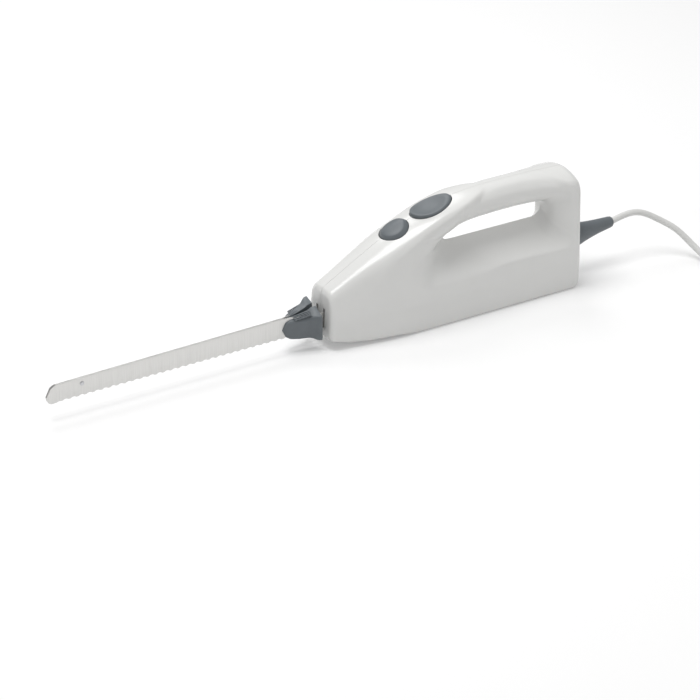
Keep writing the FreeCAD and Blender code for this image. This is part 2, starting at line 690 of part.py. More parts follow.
def worm():
    """The worm on the motor shaft: a core with one helical thread."""
    body = doc.addObject("PartDesign::Body", "worm_body")
    pitch = f"{math.pi} * module_size"
    front = "-gear_x - worm_long / 2"
    core = body.newObject("PartDesign::Revolution", "core")
    core.Profile = sketch_in(body, "XZ_Plane", [
        (front, "shaft_r + seat_gap"), (f"{front} + worm_long", "shaft_r + seat_gap"),
        (f"{front} + worm_long", "worm_root + 0.1"), (front, "worm_root + 0.1")])
    core.ReferenceAxis = (core.Profile[0], ["H_Axis"])
    thread = body.newObject("PartDesign::AdditiveHelix", "thread")
    start = f"-gear_x - 1.5 * {pitch} - 0.65 * thread_thick"
    thread.Profile = sketch_in(body, "XZ_Plane", [
        (start, "worm_root"), (f"{start} + thread_thick * 1.3", "worm_root"),
        (f"{start} + thread_thick * 1.0", "worm_tip"), (f"{start} + thread_thick * 0.3", "worm_tip")])
    thread.ReferenceAxis = (thread.Profile[0], ["H_Axis"])
    bind(thread, Pitch=pitch, Height="worm_long - 2 - thread_thick * 1.4")
    bind(body, Placement__Base__z="shaft_z")
    node(body, "worm")


# ---------------------------------------------------------------- motor
def ring(low, high, outer, inner):
    return cut(rod("X", low, high, "0", "shaft_z", outer), rod("X", low, high, "0", "shaft_z", inner))


def sector(low, high, outer, inner, start, sweep):
    """Part of a ring about the motor shaft, between two angles."""
    wedge = rod("X", low, high, "0", "shaft_z", outer)
    wedge.Angle = sweep
    wedge.Placement = Placement(wedge.Placement.Base, Rotation(Vector(1, 0, 0), start) * AXES["X"])
    return cut(wedge, rod("X", f"({low}) - 1", f"({high}) + 1", "0", "shaft_z", inner))


def stator_and_coils():
    rear = "motor_x + stator_long"
    slots = []
    coils = []
    for start in (30, 210):
        for edge in (start, start + 106):
            slots.append(sector("motor_x - 1", f"{rear} + 1", "coil_out + free_gap",
                                "coil_in - free_gap", edge - 1, 16))
        loop = sector("motor_x - coil_end", f"{rear} + coil_end", "coil_out", "coil_in", start, 120)
        pole = sector("motor_x", rear, "coil_out + 1", "coil_in - 1", start + 14, 92)
        coils.append(cut(loop, pole))
    bolts = [rod("X", "motor_x - 1", f"{rear} + 1", "0", z, "bolt_r + free_gap")
             for z in ("shaft_z + bolt_ring", "shaft_z - bolt_ring")]
    core = ring("motor_x", rear, "stator_r", "bore_r")
    node(cut(core, *slots, *bolts), "stator_core")
    node(join(*coils), "field_coils")


def slotted_drum(low, high, outer, bore, depth, width, count):
    """A drum on the shaft with slots cut along it."""
    drum = ring(low, high, outer, bore)
    slot = block((f"({low}) - 1", f"({high}) + 1"), (f"-({width}) / 2", f"({width}) / 2"),
                 (f"shaft_z + ({outer}) - ({depth})", f"shaft_z + ({outer}) + 2"))
    return cut(drum, *[turned(slot, index * 360 / count) for index in range(count)])


def armature():
    rear = "motor_x + stator_long"
    on_shaft = "shaft_r + seat_gap"
    count = int(size("rotor_slots"))
    node(rod("X", "-shaft_front", "shaft_rear", "0", "shaft_z", "shaft_r"), "armature_shaft")
    node(slotted_drum("motor_x", rear, "rotor_r", on_shaft, "4", "1.6", count), "armature_core")
    ends = [ring("motor_x - 4", "motor_x", "rotor_r - 1.4", on_shaft),
            ring(rear, f"{rear} + 6", "rotor_r - 1.4", on_shaft)]
    node(join(*ends), "armature_windings")
    start = f"{rear} + 9"
    node(slotted_drum(start, f"{start} + commutator_long", "commutator_r", on_shaft, "0.8", "0.6", count),
         "commutator")


def fan():
    front = "motor_x - 9.2"
    hub = ring(front, f"{front} + fan_long", "5", "shaft_r + seat_gap")
    disc = ring(front, f"{front} + 1", "fan_r", "4")
    vane = block((front, f"{front} + fan_long"), ("-0.5", "0.5"), ("shaft_z + 4.5", "shaft_z + fan_r - 0.3"))
    count = int(size("fan_blades"))
    node(join(hub, disc, *[turned(vane, index * 360 / count) for index in range(count)]), "cooling_fan")


def bearings():
    node(ring("motor_x - 14", "motor_x - 14 + bearing_long", "bearing_r", "shaft_r + run_gap"),
         "front_bearing")
    node(ring("shaft_rear - 5", "shaft_rear - 5 + bearing_long", "bearing_r", "shaft_r + run_gap"),
         "rear_bearing")


def rear_bracket():
    """The bracket behind the stator: plate, bearing boss, legs to the stator, brush arms."""
    rear = "motor_x + stator_long"
    plate_at = "shaft_rear - 9"
    plate = rod("X", plate_at, f"{plate_at} + 3", "0", "shaft_z", "stator_r - 0.6")
    boss = rod("X", plate_at, "shaft_rear", "0", "shaft_z", "bearing_r + 2")
    legs = [block((rear, f"{plate_at} + 3"), ("-3.5", "3.5"), span)
            for span in (("shaft_z + bolt_ring - 2.4", "shaft_z + bolt_ring + 1.8"),
                         ("shaft_z - bolt_ring - 1.8", "shaft_z - bolt_ring + 2.4"))]
    arms = [block((f"{rear} + 8", f"{plate_at} + 1"), span, ("shaft_z - 5", "shaft_z + 5"))
            for span in (("-19.5", "-17"), ("17", "19.5"))]
    holes = [rod("X", f"{plate_at} - 1", "shaft_rear + 1", "0", "shaft_z", "shaft_r + 1"),
             rod("X", "shaft_rear - 5", "shaft_rear + 1", "0", "shaft_z", "bearing_r + seat_gap")]
    for z in ("shaft_z + bolt_ring", "shaft_z - bolt_ring"):
        holes.append(rod("X", f"{rear} - 1", f"{plate_at} + 4", "0", z, "bolt_r + free_gap"))
    node(cut(join(plate, boss, *legs, *arms), *holes), "rear_bracket")


def motor_bolts():
    bolts = []
    for z in ("shaft_z + bolt_ring", "shaft_z - bolt_ring"):
        shank = rod("X", "motor_x - 13", "shaft_rear - 6", "0", z, "bolt_r")
        head = rod("X", "shaft_rear - 6", "shaft_rear - 4", "0", z, "bolt_r + 1.2")
        bolts.append(join(shank, head))
    node(join(*bolts), "motor_bolts")


def brushes():
    middle = "motor_x + stator_long + 9 + commutator_long / 2"
    holders = []
    carbons = []
    for sign in (-1, 1):
        def side(near, far, sign=sign):
            return (near, far) if sign > 0 else (f"-({far})", f"-({near})")
        sleeve = block((f"{middle} - 4.4", f"{middle} + 4.4"), side("commutator_r + 2", "17"),
                       ("shaft_z - 4", "shaft_z + 4"))
        hole = block((f"{middle} - 2.5 - free_gap", f"{middle} + 2.5 + free_gap"), side("0", "15.5"),
                     ("shaft_z - 2 - free_gap", "shaft_z + 2 + free_gap"))
        holders.append(cut(sleeve, hole))
        carbons.append(block((f"{middle} - 2.5", f"{middle} + 2.5"), side("commutator_r + run_gap", "15.5"),
                             ("shaft_z - 2", "shaft_z + 2")))
    node(join(*holders), "brush_holders")
    node(join(*carbons), "carbon_brushes")


# ---------------------------------------------------------------- blades
def blade_outline():
    """Side view of a blade: tang, back, sloping tip and scalloped edge."""
    tip = -size("blade_tip_x")
    root = -size("blade_root_x")
    back = size("blade_spine")
    edge = size("blade_edge")
    low = size("tang_low")
    high = size("tang_high")
    points = [(-size("tang_end"), low), (-size("tang_end"), high), (root, high),
              (root - 4, back), (tip + 7.5, back - 3.2), (tip + 6, back - 4.6), (tip, edge + 6),
              (tip + 0.6, edge + 1.6), (tip + 3.4, edge)]
    edges = [Part.LineSegment(Vector(a[0], 0, a[1]), Vector(b[0], 0, b[1])).toShape()
             for a, b in zip(points, points[1:])]
    pitch = size("tooth_pitch")
    count = int((root - tip - 24) / pitch)
    start = tip + 3.4
    for index in range(count):
        left = start + index * pitch
        middle = Vector(left + pitch / 2, 0, edge + size("tooth_deep"))
        arc = Part.Arc(Vector(left, 0, edge), middle, Vector(left + pitch, 0, edge))
        edges.append(arc.toShape())
    last = start + count * pitch
    corners = [(last, edge), (root - 6, edge), (root, low), (-size("tang_end"), low)]
    edges += [Part.LineSegment(Vector(a[0], 0, a[1]), Vector(b[0], 0, b[1])).toShape()
              for a, b in zip(corners, corners[1:])]
    return Part.Face(Part.Wire(edges))


def bent_band(sign, thick):
    """Seen from above: the band that a blade lies in, cranked from the tang to the joint plane."""
    inner = size("blade_gap")
    outer = inner + thick
    tang = size("blade_y") - thick / 2
    crank = -size("tab_front") + 3
    bend = -size("blade_root_x") + 3
    line = [(-size("tang_end") + 1, tang), (bend, tang), (crank, inner), (-size("blade_tip_x") - 1, inner)]
    far = [(-size("blade_tip_x") - 1, outer), (crank - 0.4, outer), (bend - 0.4, tang + thick),
           (-size("tang_end") + 1, tang + thick)]
    return prism([(x, sign * y, 0) for x, y in line + far], (0, 0, 60))


def blades():
    rivet_at = Vector(-size("blade_tip_x") + 29, 0, size("blade_edge") + 10.8)
    for label, sign in (("blade_left", -1), ("blade_right", 1)):
        flat = blade_outline().extrude(Vector(0, sign * 12, 0))
        blade = flat.common(bent_band(sign, size("blade_thick")))
        hole = Part.makeCylinder(size("rivet_r") + size("seat_gap"), 24, rivet_at - Vector(0, 12, 0),
                                 Vector(0, 1, 0))
        if sign > 0:
            slot = hole.fuse(Part.makeBox(16, 24, 2 * size("rivet_r") + 0.6, rivet_at
                                          - Vector(8, 12, size("rivet_r") + 0.3)))
            blade = blade.cut(slot)
        else:
            blade = blade.cut(hole)
        node(computed(label, blade.Solids[0]), label)
    stud = Part.makeCylinder(size("rivet_r"), size("blade_gap") + size("blade_thick") + 0.5,
                             rivet_at - Vector(0, size("blade_gap") + size("blade_thick") + 0.5, 0),
                             Vector(0, 1, 0))
    node(computed("blade_stud", stud), "blade_stud")


def tabs():
    """The moulded grip on each blade: a rounded lobe and a flared flange, ribbed on its top."""
    for label, sign in (("tab_left", -1), ("tab_right", 1)):
        def side(points, sign=sign):
            return [(x, y if sign > 0 else f"-({y})") for x, y in points]
        profile = slab("XZ", [
            ("-tab_front", "tab_low + 9"), ("-tab_front + 2", "tab_low + 4"),
            ("-tab_front + 7", "tab_low + 1.2"),
            ("-tab_front + 15", "tab_low + 0.6"), ("-tab_rear - 9", "tab_low + 1.6"),
            ("-tab_rear - 4", "tab_low"), ("-tab_rear", "tab_low"), ("-tab_rear", "tab_high"),
            ("-tab_rear - 3.5", "tab_high"), ("-tab_rear - 7", "tab_high - 3.6"),
            ("-tab_front + 12", "tab_high - 4"), ("-tab_front + 4", "tab_high - 7"),
            ("-tab_front", "tab_low + 17")], "-20", "20")
        plan = slab("XY", side([("-tab_front - 1", "2.4"), ("-tab_rear", "blade_gap"),
                                ("-tab_rear", "tab_out"), ("-tab_rear - 4", "tab_out - 1.2"),
                                ("-tab_rear - 9", "tab_out - 4"), ("-tab_front + 6", "4.6"),
                                ("-tab_front - 1", "3.6")]), "0", "60")
        inner = size("blade_gap")
        slot = bent_band(sign, size("blade_thick") + 2 * size("seat_gap"))
        slot.translate(Vector(0, -sign * size("seat_gap"), 0))
        tall = Part.makeBox(size("blade_tip_x"), DEEP, size("blade_spine") - size("blade_edge") + 0.1,
                            Vector(-size("blade_tip_x"), -DEEP / 2, size("blade_edge") - 0.05))
        tools = [computed("tang_slot", slot.common(tall))]
        for index in range(3):
            y = f"{inner + 1.4 + index * 2.2}"
            span = (y, f"{y} + 0.9") if sign > 0 else (f"-({y}) - 0.9", f"-({y})")
            tools.append(block(("-tab_front + 14", "-tab_rear - 8"), span, ("tab_high - 4.6", "tab_high")))
        node(cut(both(profile, plan), *tools), label)


# ---------------------------------------------------------------- controls
def release_button():
    """The domed release button, hollow underneath."""
    body = doc.addObject("PartDesign::Body", "button_body")
    cap = body.newObject("PartDesign::Revolution", "cap")
    roof = "button_proud - 2.6"
    cap.Profile = sketch_in(body, "XZ_Plane", [
        ("0", roof), ("button_r - 2", roof), ("button_r - 2", "-button_deep"), ("button_r", "-button_deep"),
        ("button_r", "button_proud - 2.2"), ("button_r - 0.6", "button_proud - 1.1"),
        ("button_r - 2.2", "button_proud - 0.4"), ("button_r - 6", "button_proud"),
        ("0", "button_proud + 0.4")])
    cap.ReferenceAxis = (cap.Profile[0], ["V_Axis"])
    turn = Rotation(Vector(0, 1, 0), -size("button_tilt"))
    body.Placement = Placement(Vector(), turn)
    bind(body, Placement__Base__x="-button_x", Placement__Base__z="button_z")
    node(body, "release_button")


def release_fork():
    """The fork under the release button: its toes lift the catches off the tangs."""
    points = [("-button_x - 7.7", "button_z - 11.65"), ("-button_x + 1.3", "button_z - 7.25"),
              ("-button_x + 2.1", "button_z - 9"), ("-button_x - 8", "button_z - 14.2"),
              ("-frame_front - 3", "bar_high + 9.5"), ("-frame_front - 3", "bar_high + 5.6"),
              ("-frame_front - 8", "bar_high + 5.6"), ("-frame_front - 8", "bar_high + 10")]
    web = slab("XZ", points, "-8", "8")
    gap = block(("-150", "-button_x - 16"), ("-2.6", "2.6"), ("0", "80"))
    node(cut(web, gap), "release_fork")


def spring(x, low, high, label):
    """A helical compression spring standing on z."""
    body = doc.addObject("PartDesign::Body", "spring_body")
    profile = body.newObject("Sketcher::SketchObject", "wire")
    profile.AttachmentSupport = [(origin_plane(body, "XZ_Plane"), "")]
    profile.MapMode = "FlatFace"
    profile.addGeometry(Part.Circle(Vector(3, 0, 0), Vector(0, 0, 1), 0.5), False)
    for place, text in ((("Radius", 0, 1.0), "spring_wire"), (("DistanceX", -1, 1, 0, 3, 1.0), "spring_r"),
                        (("DistanceY", -1, 1, 0, 3, 1.0), "spring_wire")):
        number = profile.addConstraint(Sketcher.Constraint(*place))
        bind(profile, **{f"Constraints[{number}]": text})
    coil = body.newObject("PartDesign::AdditiveHelix", "coil")
    coil.Profile = profile
    coil.ReferenceAxis = (profile, ["V_Axis"])
    bind(coil, Pitch="spring_pitch", Height=f"({high}) - ({low}) - 2 * spring_wire")
    bind(body, Placement__Base__x=x, Placement__Base__z=low)
    node(body, label)


def trigger():
    """The dished on/off trigger with its pivot arm and the leg that works the switch."""
    cap = tilted("Part::Ellipse", "trigger", -size("trigger_deep"), size("trigger_proud"),
                 MajorRadius="trigger_long / 2", MinorRadius="trigger_wide / 2")
    dish = doc.addObject("Part::Sphere", "dish")
    dish.Radius = 70
    lean = math.radians(size("trigger_tilt"))
    rise = Vector(-math.sin(lean), 0, math.cos(lean))
    centre = Vector(-size("trigger_x") - 2, 0, size("trigger_z"))
    dish.Placement = Placement(centre + rise * (70 + size("trigger_proud") - 1.6), Rotation())
    arm = block(("-pivot_x - 16", "-pivot_x + 3.4"), ("-6.8", "6.8"), ("pivot_z - 3.2", "pivot_z + 2.6"))
    leg = block(("-switch_x - 2", "-switch_x + 2"), ("-2", "2"),
                ("deck_z + switch_tall + plunger_up + 0.1", "trigger_z - 7"))
    hole = rod("Y", "-20", "20", "-pivot_x", "pivot_z", "pin_r + run_gap")
    node(cut(join(cut(cap, dish), arm, leg), hole), "trigger")
    node(rod("Y", "-10", "10", "-pivot_x", "pivot_z", "pin_r"), "trigger_pin")


def switch():
    low = "deck_z"
    case = block(("-switch_x - 6", "-switch_x + 10"), ("-3.6", "3.6"), (low, f"{low} + switch_tall"))
    well = rod("Z", f"{low} + 3", f"{low} + 20", "-switch_x", "0", "plunger_r + run_gap")
    node(cut(case, well), "microswitch")
    node(rod("Z", f"{low} + 6", f"{low} + switch_tall + plunger_up", "-switch_x", "0", "plunger_r"),
         "switch_plunger")


def capacitor():
    seat = "plate_z + plate_thick"
    node(block(("-gear_x + 38", "-gear_x + 52"), ("4", "12"), (seat, f"{seat} + 13")), "capacitor")


# ---------------------------------------------------------------- cord
def bent_path(points):
    """Straight runs joined by tangent arcs; returns the wire, its length and the arc radii."""
    points = [Vector(*point) for point in points]
    edges = []
    radii = []
    last = points[0]
    for before, corner, after in zip(points, points[1:], points[2:]):
        to_before = (before - corner).normalize()
        to_after = (after - corner).normalize()
        turn = math.pi - to_before.getAngle(to_after)
        shorter = min((before - corner).Length, (after - corner).Length)
        reach = 0.45 * shorter
        radius = reach / math.tan(turn / 2)
        start = corner + to_before * reach
        end = corner + to_after * reach
        inward = (to_before + to_after).normalize()
        middle = corner + inward * (radius / math.cos(turn / 2) - radius)
        edges.append(Part.LineSegment(last, start).toShape())
        edges.append(Part.Arc(start, middle, end).toShape())
        radii.append(radius)
        last = end
    edges.append(Part.LineSegment(last, points[-1]).toShape())
    wire = Part.Wire(edges)
    return wire, wire.Length, radii


def tube(name, points, radius):
    """A round tube along a bent path, with its volume compared with section times length."""
    wire, length, radii = bent_path(points)
    direction = Vector(*points[1]) - Vector(*points[0])
    section = Part.Wire([Part.makeCircle(radius, Vector(*points[0]), direction)])
    solid = wire.makePipeShell([section], True, True)
    print(f"{name}: length {length:.1f}, radii {[round(value, 1) for value in radii]}, "
          f"volume ratio {solid.Volume / (math.pi * radius ** 2 * length):.5f}")
    return solid


def strain_relief():
    """A ribbed, tapered boot with a neck in the rear wall and a collar inside it."""
    tilt = size("relief_tilt")
    at = Vector(size("tail_x"), 0, size("relief_z"))
    boot = doc.addObject("Part::Cone", "boot")
    bind(boot, Radius1="relief_root", Radius2="relief_tip", Height=f"relief_long / cos({tilt})")
    boot.Placement = Placement(at, Rotation(Vector(0, 1, 0), 90 - tilt))
    trim = block(("tail_x - 20", "tail_x + seat_gap"), ("-30", "30"), ("0", "80"))
    inner_wall = "tail_x - wall - seat_gap"
    neck = rod("X", inner_wall, "tail_x + 4", "0", "relief_z", "neck_r")
    collar = rod("X", "tail_x - wall - 3", inner_wall, "0", "relief_z", "neck_r + 2")
    node(join(cut(boot, trim), neck, collar), "strain_relief")


def cord_entry():
    """The cord's end inside the housing, its clamp and the clamp's screws."""
    node(rod("X", "shaft_rear + 1", "tail_x - wall - 3", "0", "relief_z + 2.6", "cord_r"), "cord_end")
    seat = "relief_z - 0.4"
    x = ("tail_x - 16", "tail_x - 10")
    saddle = block(x, ("-9.2", "9.2"), (seat, "relief_z + 7"))
    holes = [rod("X", "shaft_rear", "tail_x", "0", "relief_z + 2.6", "cord_r + seat_gap")]
    screws = []
    for y in ("-6.5", "6.5"):
        holes.append(rod("Z", "0", "80", "tail_x - 13", y, "1.2 + free_gap"))
        shank = rod("Z", "relief_z - 10.5", "relief_z + 7", "tail_x - 13", y, "1.2")
        screws.append(join(shank, rod("Z", "relief_z + 7", "relief_z + 8.6", "tail_x - 13", y, "2.2")))
    node(cut(saddle, *holes), "cord_clamp")
    node(join(*screws), "clamp_screws")


def inner_leads():
    """The two insulated wires from the cord up through the handle to the switch."""
    x_end = size("shaft_rear") + 1
    rise = size("relief_z") + 2.6
    handle = size("loop_top") + 5.6
    switch_rear = -size("switch_x") + 10
    leads = []
    for sign in (-1, 1):
        points = [(x_end - 0.5, sign * 1.4, rise), (x_end - 3.8, sign * 2.4, rise + 1.4),
                  (x_end - 4.4, sign * 4.6, rise + 9), (x_end - 5.5, sign * 4.2, 60),
                  (x_end - 5.5, sign * 4.6, 76), (x_end - 12, sign * 5, handle - 0.5),
                  (x_end - 30, sign * 5.2, handle), (switch_rear + 16, sign * 5.4, handle),
                  (switch_rear + 3, sign * 5.8, handle - 1), (switch_rear - 3, sign * 6.3, handle - 6),
                  (switch_rear - 4, sign * 6.2, size("deck_z") + 8),
                  (switch_rear - 4.4, sign * 4.5, size("deck_z") + 4.6)]
        leads.append(tube(f"lead {sign}", points, 0.9))
    node(computed("inner_leads", Part.makeCompound(leads)), "inner_leads")


def cord():
    node(computed("mains_cord", tube("cord", CORD_POINTS, size("cord_r"))), "mains_cord")
    centre = Vector(size("coil_x"), -size("coil_y"), 0)
    thick = 3 * size("cord_r")
    outer = Part.makeCylinder(size("coil_mean") + thick, 2 * thick, centre)
    coil = outer.cut(Part.makeCylinder(size("coil_mean") - thick, 2 * thick, centre))
    rims = [edge for edge in coil.Edges if edge.Length > 60 and edge.Closed]
    coil = coil.makeFillet(size("cord_r"), rims)
    band = Part.makeBox(9, 2 * thick + 2.4, 2 * thick + 1.2,
                        centre + Vector(-4.5, size("coil_mean") - thick - 1.2, 0))
    node(computed("cord_coil", coil), "cord_coil")
    node(computed("cord_tie", band.cut(coil)), "cord_tie")
    node(computed("cord_tail", tube("tail", TAIL_POINTS, size("cord_r"))), "cord_tail")


def plug():
    """A flat two-pin plug lying beside the coil, its pins pointing away from the knife's side."""
    x, y, z = TAIL_POINTS[-1]
    half = size("plug_wide") / 2
    far = y + size("plug_long")
    neck = 7
    points = [(x - neck, y, 0), (x - half + 3, y + 12, 0), (x - half, y + 20, 0), (x - half, far, 0),
              (x + half, far, 0), (x + half, y + 20, 0), (x + half - 3, y + 12, 0), (x + neck, y, 0)]
    body = prism(points, (0, 0, size("plug_tall")))
    rims = [edge for edge in body.Edges if edge.BoundBox.ZLength < 0.01]
    node(computed("plug_body", body.makeFillet(3, rims)), "plug_body")
    pins = []
    for sign in (-1, 1):
        at = Vector(x + sign * size("plug_pin_apart") / 2, far, z)
        pins.append(Part.makeCylinder(size("plug_pin_r"), size("plug_pin_long"), at, Vector(0, 1, 0)))
    node(computed("plug_pins", Part.makeCompound(pins)), "plug_pins")


def build():
    housing()
    housing_screws()
    gear_frame()
    frame_screws()
    switch_deck()
    node(rod("Y", "-frame_half", "frame_half", "-gear_x", "gear_z", "axle_r"), "gear_axle")
    drive_gear()
    eccentrics()
    carriers()
    catches()
    worm()
    stator_and_coils()
    armature()
    fan()
    bearings()
    rear_bracket()
    motor_bolts()
    brushes()
    blades()
    tabs()
    release_button()
    release_fork()
    trigger()
    switch()
    spring("-button_x + 6.4", "deck_z", "button_z + 0.2", "release_spring")
    spring("-switch_x + 6.8", "deck_z + switch_tall", "trigger_z - 8.8", "trigger_spring")
    capacitor()
    strain_relief()
    cord_entry()
    inner_leads()
    cord()
    plug()


def check_and_write():
    doc.recompute()
    bad = [f"{item.Name} ({item.Label}): {item.State}" for item in doc.Objects
           if {"Invalid", "Error"} & set(item.State)]
    for item in NODES:
        if item.Shape.isNull() or not item.Shape.isValid() or not item.Shape.Solids:
            bad.append(f"{item.Label}: no valid solid")
    if bad:
        raise SystemExit("not built: " + "; ".join(bad))
    os.makedirs("parts", exist_ok=True)
    for item in NODES:
        item.Shape.exportStep(f"parts/{item.Label}.step")
        bounds = item.Shape.BoundBox
        print(f"{item.Label}: {len(item.Shape.Solids)} solids, {item.Shape.Volume:.0f} mm3, "
              f"x {bounds.XMin:.1f}..{bounds.XMax:.1f} y {bounds.YMin:.1f}..{bounds.YMax:.1f} "
              f"z {bounds.ZMin:.1f}..{bounds.ZMax:.1f}")


build()
check_and_write()
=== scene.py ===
"""A corded electric knife: white housing with a finger loop, grey controls, twin toothed blades."""
import json
import math

import bmesh
import bpy
import numpy as np
import openvdb
from mathutils import Matrix, Vector

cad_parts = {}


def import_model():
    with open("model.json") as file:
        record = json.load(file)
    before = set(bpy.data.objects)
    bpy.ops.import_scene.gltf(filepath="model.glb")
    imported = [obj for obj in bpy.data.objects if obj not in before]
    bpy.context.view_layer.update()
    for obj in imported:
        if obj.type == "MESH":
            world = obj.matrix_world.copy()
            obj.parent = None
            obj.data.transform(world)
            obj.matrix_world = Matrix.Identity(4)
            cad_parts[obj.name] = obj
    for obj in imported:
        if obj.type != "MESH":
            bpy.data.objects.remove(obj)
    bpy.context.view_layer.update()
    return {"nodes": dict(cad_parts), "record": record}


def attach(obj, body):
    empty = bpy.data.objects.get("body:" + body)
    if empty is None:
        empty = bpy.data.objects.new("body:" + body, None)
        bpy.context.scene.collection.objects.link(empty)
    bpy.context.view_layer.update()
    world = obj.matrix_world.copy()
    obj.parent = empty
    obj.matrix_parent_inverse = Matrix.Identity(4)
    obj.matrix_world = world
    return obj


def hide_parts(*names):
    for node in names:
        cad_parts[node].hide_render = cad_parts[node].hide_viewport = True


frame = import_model()
MM = 0.001

# ---------------------------------------------------------------- housing sizes, millimetres
WALL = 2.4
LEAN_FROM = 25
NOSE_X = -135.5
TAIL_X = 101.6
CORNER_NOSE = 5
CORNER_TAIL = 8
CROWN_TAIL = 11            # radius of the top rear corner
CREASE = 3.0               # rounding between the top face and the sides
FOOT_EDGE = 3
FOOT_REAR = 10             # radius where the rear wall meets the base
RIDGE_Z = 61.5
RIDGE_SLOPE = 0.81
LOOP_FRONT = -36
LOOP_REAR = 74.8
LOOP_SPREAD = (1.5, 1.25)  # how fast the hollow opens towards the sides, ahead and behind
LOOP_THICK = 12
LOOP_FILLET = (14, 7)       # between the roof and the walls ahead of and behind the opening
LOOP_RAKE = (74, 1.8)       # above this height the front of the hollow leans back this fast
BAR_TALL = 13.2            # half height of the handle bar
BAR_DROP = 12.2
SEAM = 0.1
SCREW_XZ = [(-121, 10.4), (-126, 43), (-95, 41), (-20, 15), (91, 11), (85, 66), (14, 92.5)]

BUTTON = dict(centre=(-66.9, 83.3), tilt=26, long=12.4, wide=12.1)
TRIGGER = dict(centre=(-32.2, 96), tilt=12, long=18.5, wide=12.6)
TRIGGER_EGG = -0.05        # how much the trigger's plan narrows towards its rear


def profile(points, blur=5):
    """A smoothed line through (x, value) points, as a function of x."""
    x, value = np.array(points, float).T
    fine = np.arange(x[0], x[-1] + 0.25, 0.5)
    half = int(6 * blur)
    kernel = np.exp(-0.5 * (np.arange(-half, half + 1) * 0.5 / blur) ** 2)
    wide = np.pad(np.interp(fine, x, value), half, mode="reflect", reflect_type="odd")
    smooth = np.convolve(wide, kernel / kernel.sum(), "valid")
    return lambda at: np.interp(at, fine, smooth)


top_line = profile([(-175, 22), (-145, 40.2), (-132, 48), (-117.4, 56), (-104.8, 63.4), (-92.2, 70.2),
                    (-81.6, 76.2), (-66.4, 83.2), (-50, 89.4), (-32.2, 95.2), (-12.2, 100.2),
                    (2, 101.8), (24, 102.8), (60, 102.8), (80, 102.1), (120, 101.2)])
base_line = profile([(-160, 14), (-135, 8.6), (-121, 4.6), (-104, 3), (-78, 2.2), (-60, 0), (120, 0)], 4)
half_width = profile([(-170, 12), (-135, 18.3), (-115, 21.4), (-95, 25), (-75, 27.2), (-40, 27.6),
                      (60, 27.6), (120, 27.6)], 6)
bar_half = profile([(-170, 21), (-40, 20.5), (-15, 17), (0, 15), (48, 14.8), (66, 17), (80, 21),
                    (120, 24)], 5)
# the top face: gently rounded in the middle, then falling to a crease at its sides
crown_round = profile([(-170, 2), (-118, 2), (-107, 3), (-86, 4.6), (-58, 5.2), (-42, 4), (-28, 3.5),
                       (60, 4), (80, 5), (120, 6)], 5)
crown_edge = profile([(-170, 26), (-118, 22), (-107, 11), (-86, 2.6), (-58, 1), (-42, 0.4), (120, 0)], 5)
# how much the sides lean in per millimetre of height
side_lean = profile([(-170, 0.11), (45, 0.11), (85, 0.06), (120, 0.05)], 5)


def smooth_max(a, b, r):
    """The larger of two distances, with the edge between them rounded."""
    return np.minimum(np.maximum(a, b), -r) + np.hypot(np.maximum(a + r, 0), np.maximum(b + r, 0))


def housing_field(x, y, z):
    """Roughly the distance from the housing's outside, negative within, in millimetres."""
    ay = np.sqrt(y * y + 0.04)
    side = ay - half_width(x) + side_lean(x) * np.maximum(z - LEAN_FROM, 0)
    front = NOSE_X - x + 0.05 * (z - 8)
    rear = x - TAIL_X
    across = ay / 20
    above = 0.9 * (z - top_line(x) + crown_round(x) * across ** 2 + crown_edge(x) * across ** 6)
    plan = smooth_max(smooth_max(side, front, CORNER_NOSE), rear, CORNER_TAIL)
    along = smooth_max(smooth_max(above, rear, CROWN_TAIL), front, 3)
    under = smooth_max(base_line(x) - z, rear, FOOT_REAR)
    whole = smooth_max(smooth_max(along, plan, CREASE), under, FOOT_EDGE)

    # the hollow round the handle bar: above the roof, between the wedge and the rear pillar
    out = ay - LOOP_THICK
    spread = 0.5 * (out + np.sqrt(out * out + 36))
    scale = 0.62
    raked = LOOP_FRONT + LOOP_RAKE[1] * np.maximum(z - LOOP_RAKE[0], 0)
    behind_wedge = scale * (raked - LOOP_SPREAD[0] * spread - x)
    before_pillar = scale * (x - LOOP_REAR - LOOP_SPREAD[1] * spread)
    over_roof = 0.81 * (RIDGE_Z - RIDGE_SLOPE * ay - z)
    round_bar = np.hypot(ay / bar_half(x), (z - top_line(x) + BAR_DROP) / BAR_TALL)
    bar = (round_bar - 1) * BAR_TALL
    hollow = smooth_max(smooth_max(behind_wedge, over_roof, LOOP_FILLET[0]),
                        smooth_max(before_pillar, over_roof, LOOP_FILLET[1]), 0.5)
    hollow = smooth_max(hollow, -bar, 5 + 11 * np.clip((14 - x) / 34, 0, 1))
    soft = 1.3 + 7 * np.clip((22 - x) / 34, 0, 1)
    return smooth_max(whole, -hollow, soft)


# ---------------------------------------------------------------- meshes
def mesh_object(name, vertices, faces, smooth=40):
    """A mesh object at the origin, its vertices given in metres."""
    mesh = bpy.data.meshes.new(name)
    mesh.from_pydata([tuple(map(float, v)) for v in vertices], [], [tuple(map(int, f)) for f in faces])
    mesh.validate()
    obj = bpy.data.objects.new(name, mesh)
    bpy.context.scene.collection.objects.link(obj)
    face_out(mesh)
    shade(obj, smooth)
    return obj


def face_out(mesh):
    """Recalculates the normals so that every face points outwards."""
    work = bmesh.new()
    work.from_mesh(mesh)
    bmesh.ops.recalc_face_normals(work, faces=work.faces)
    work.to_mesh(mesh)
    work.free()


def shade(obj, degrees=40):
    obj.data.shade_smooth()
    obj.data.set_sharp_from_angle(angle=math.radians(degrees))


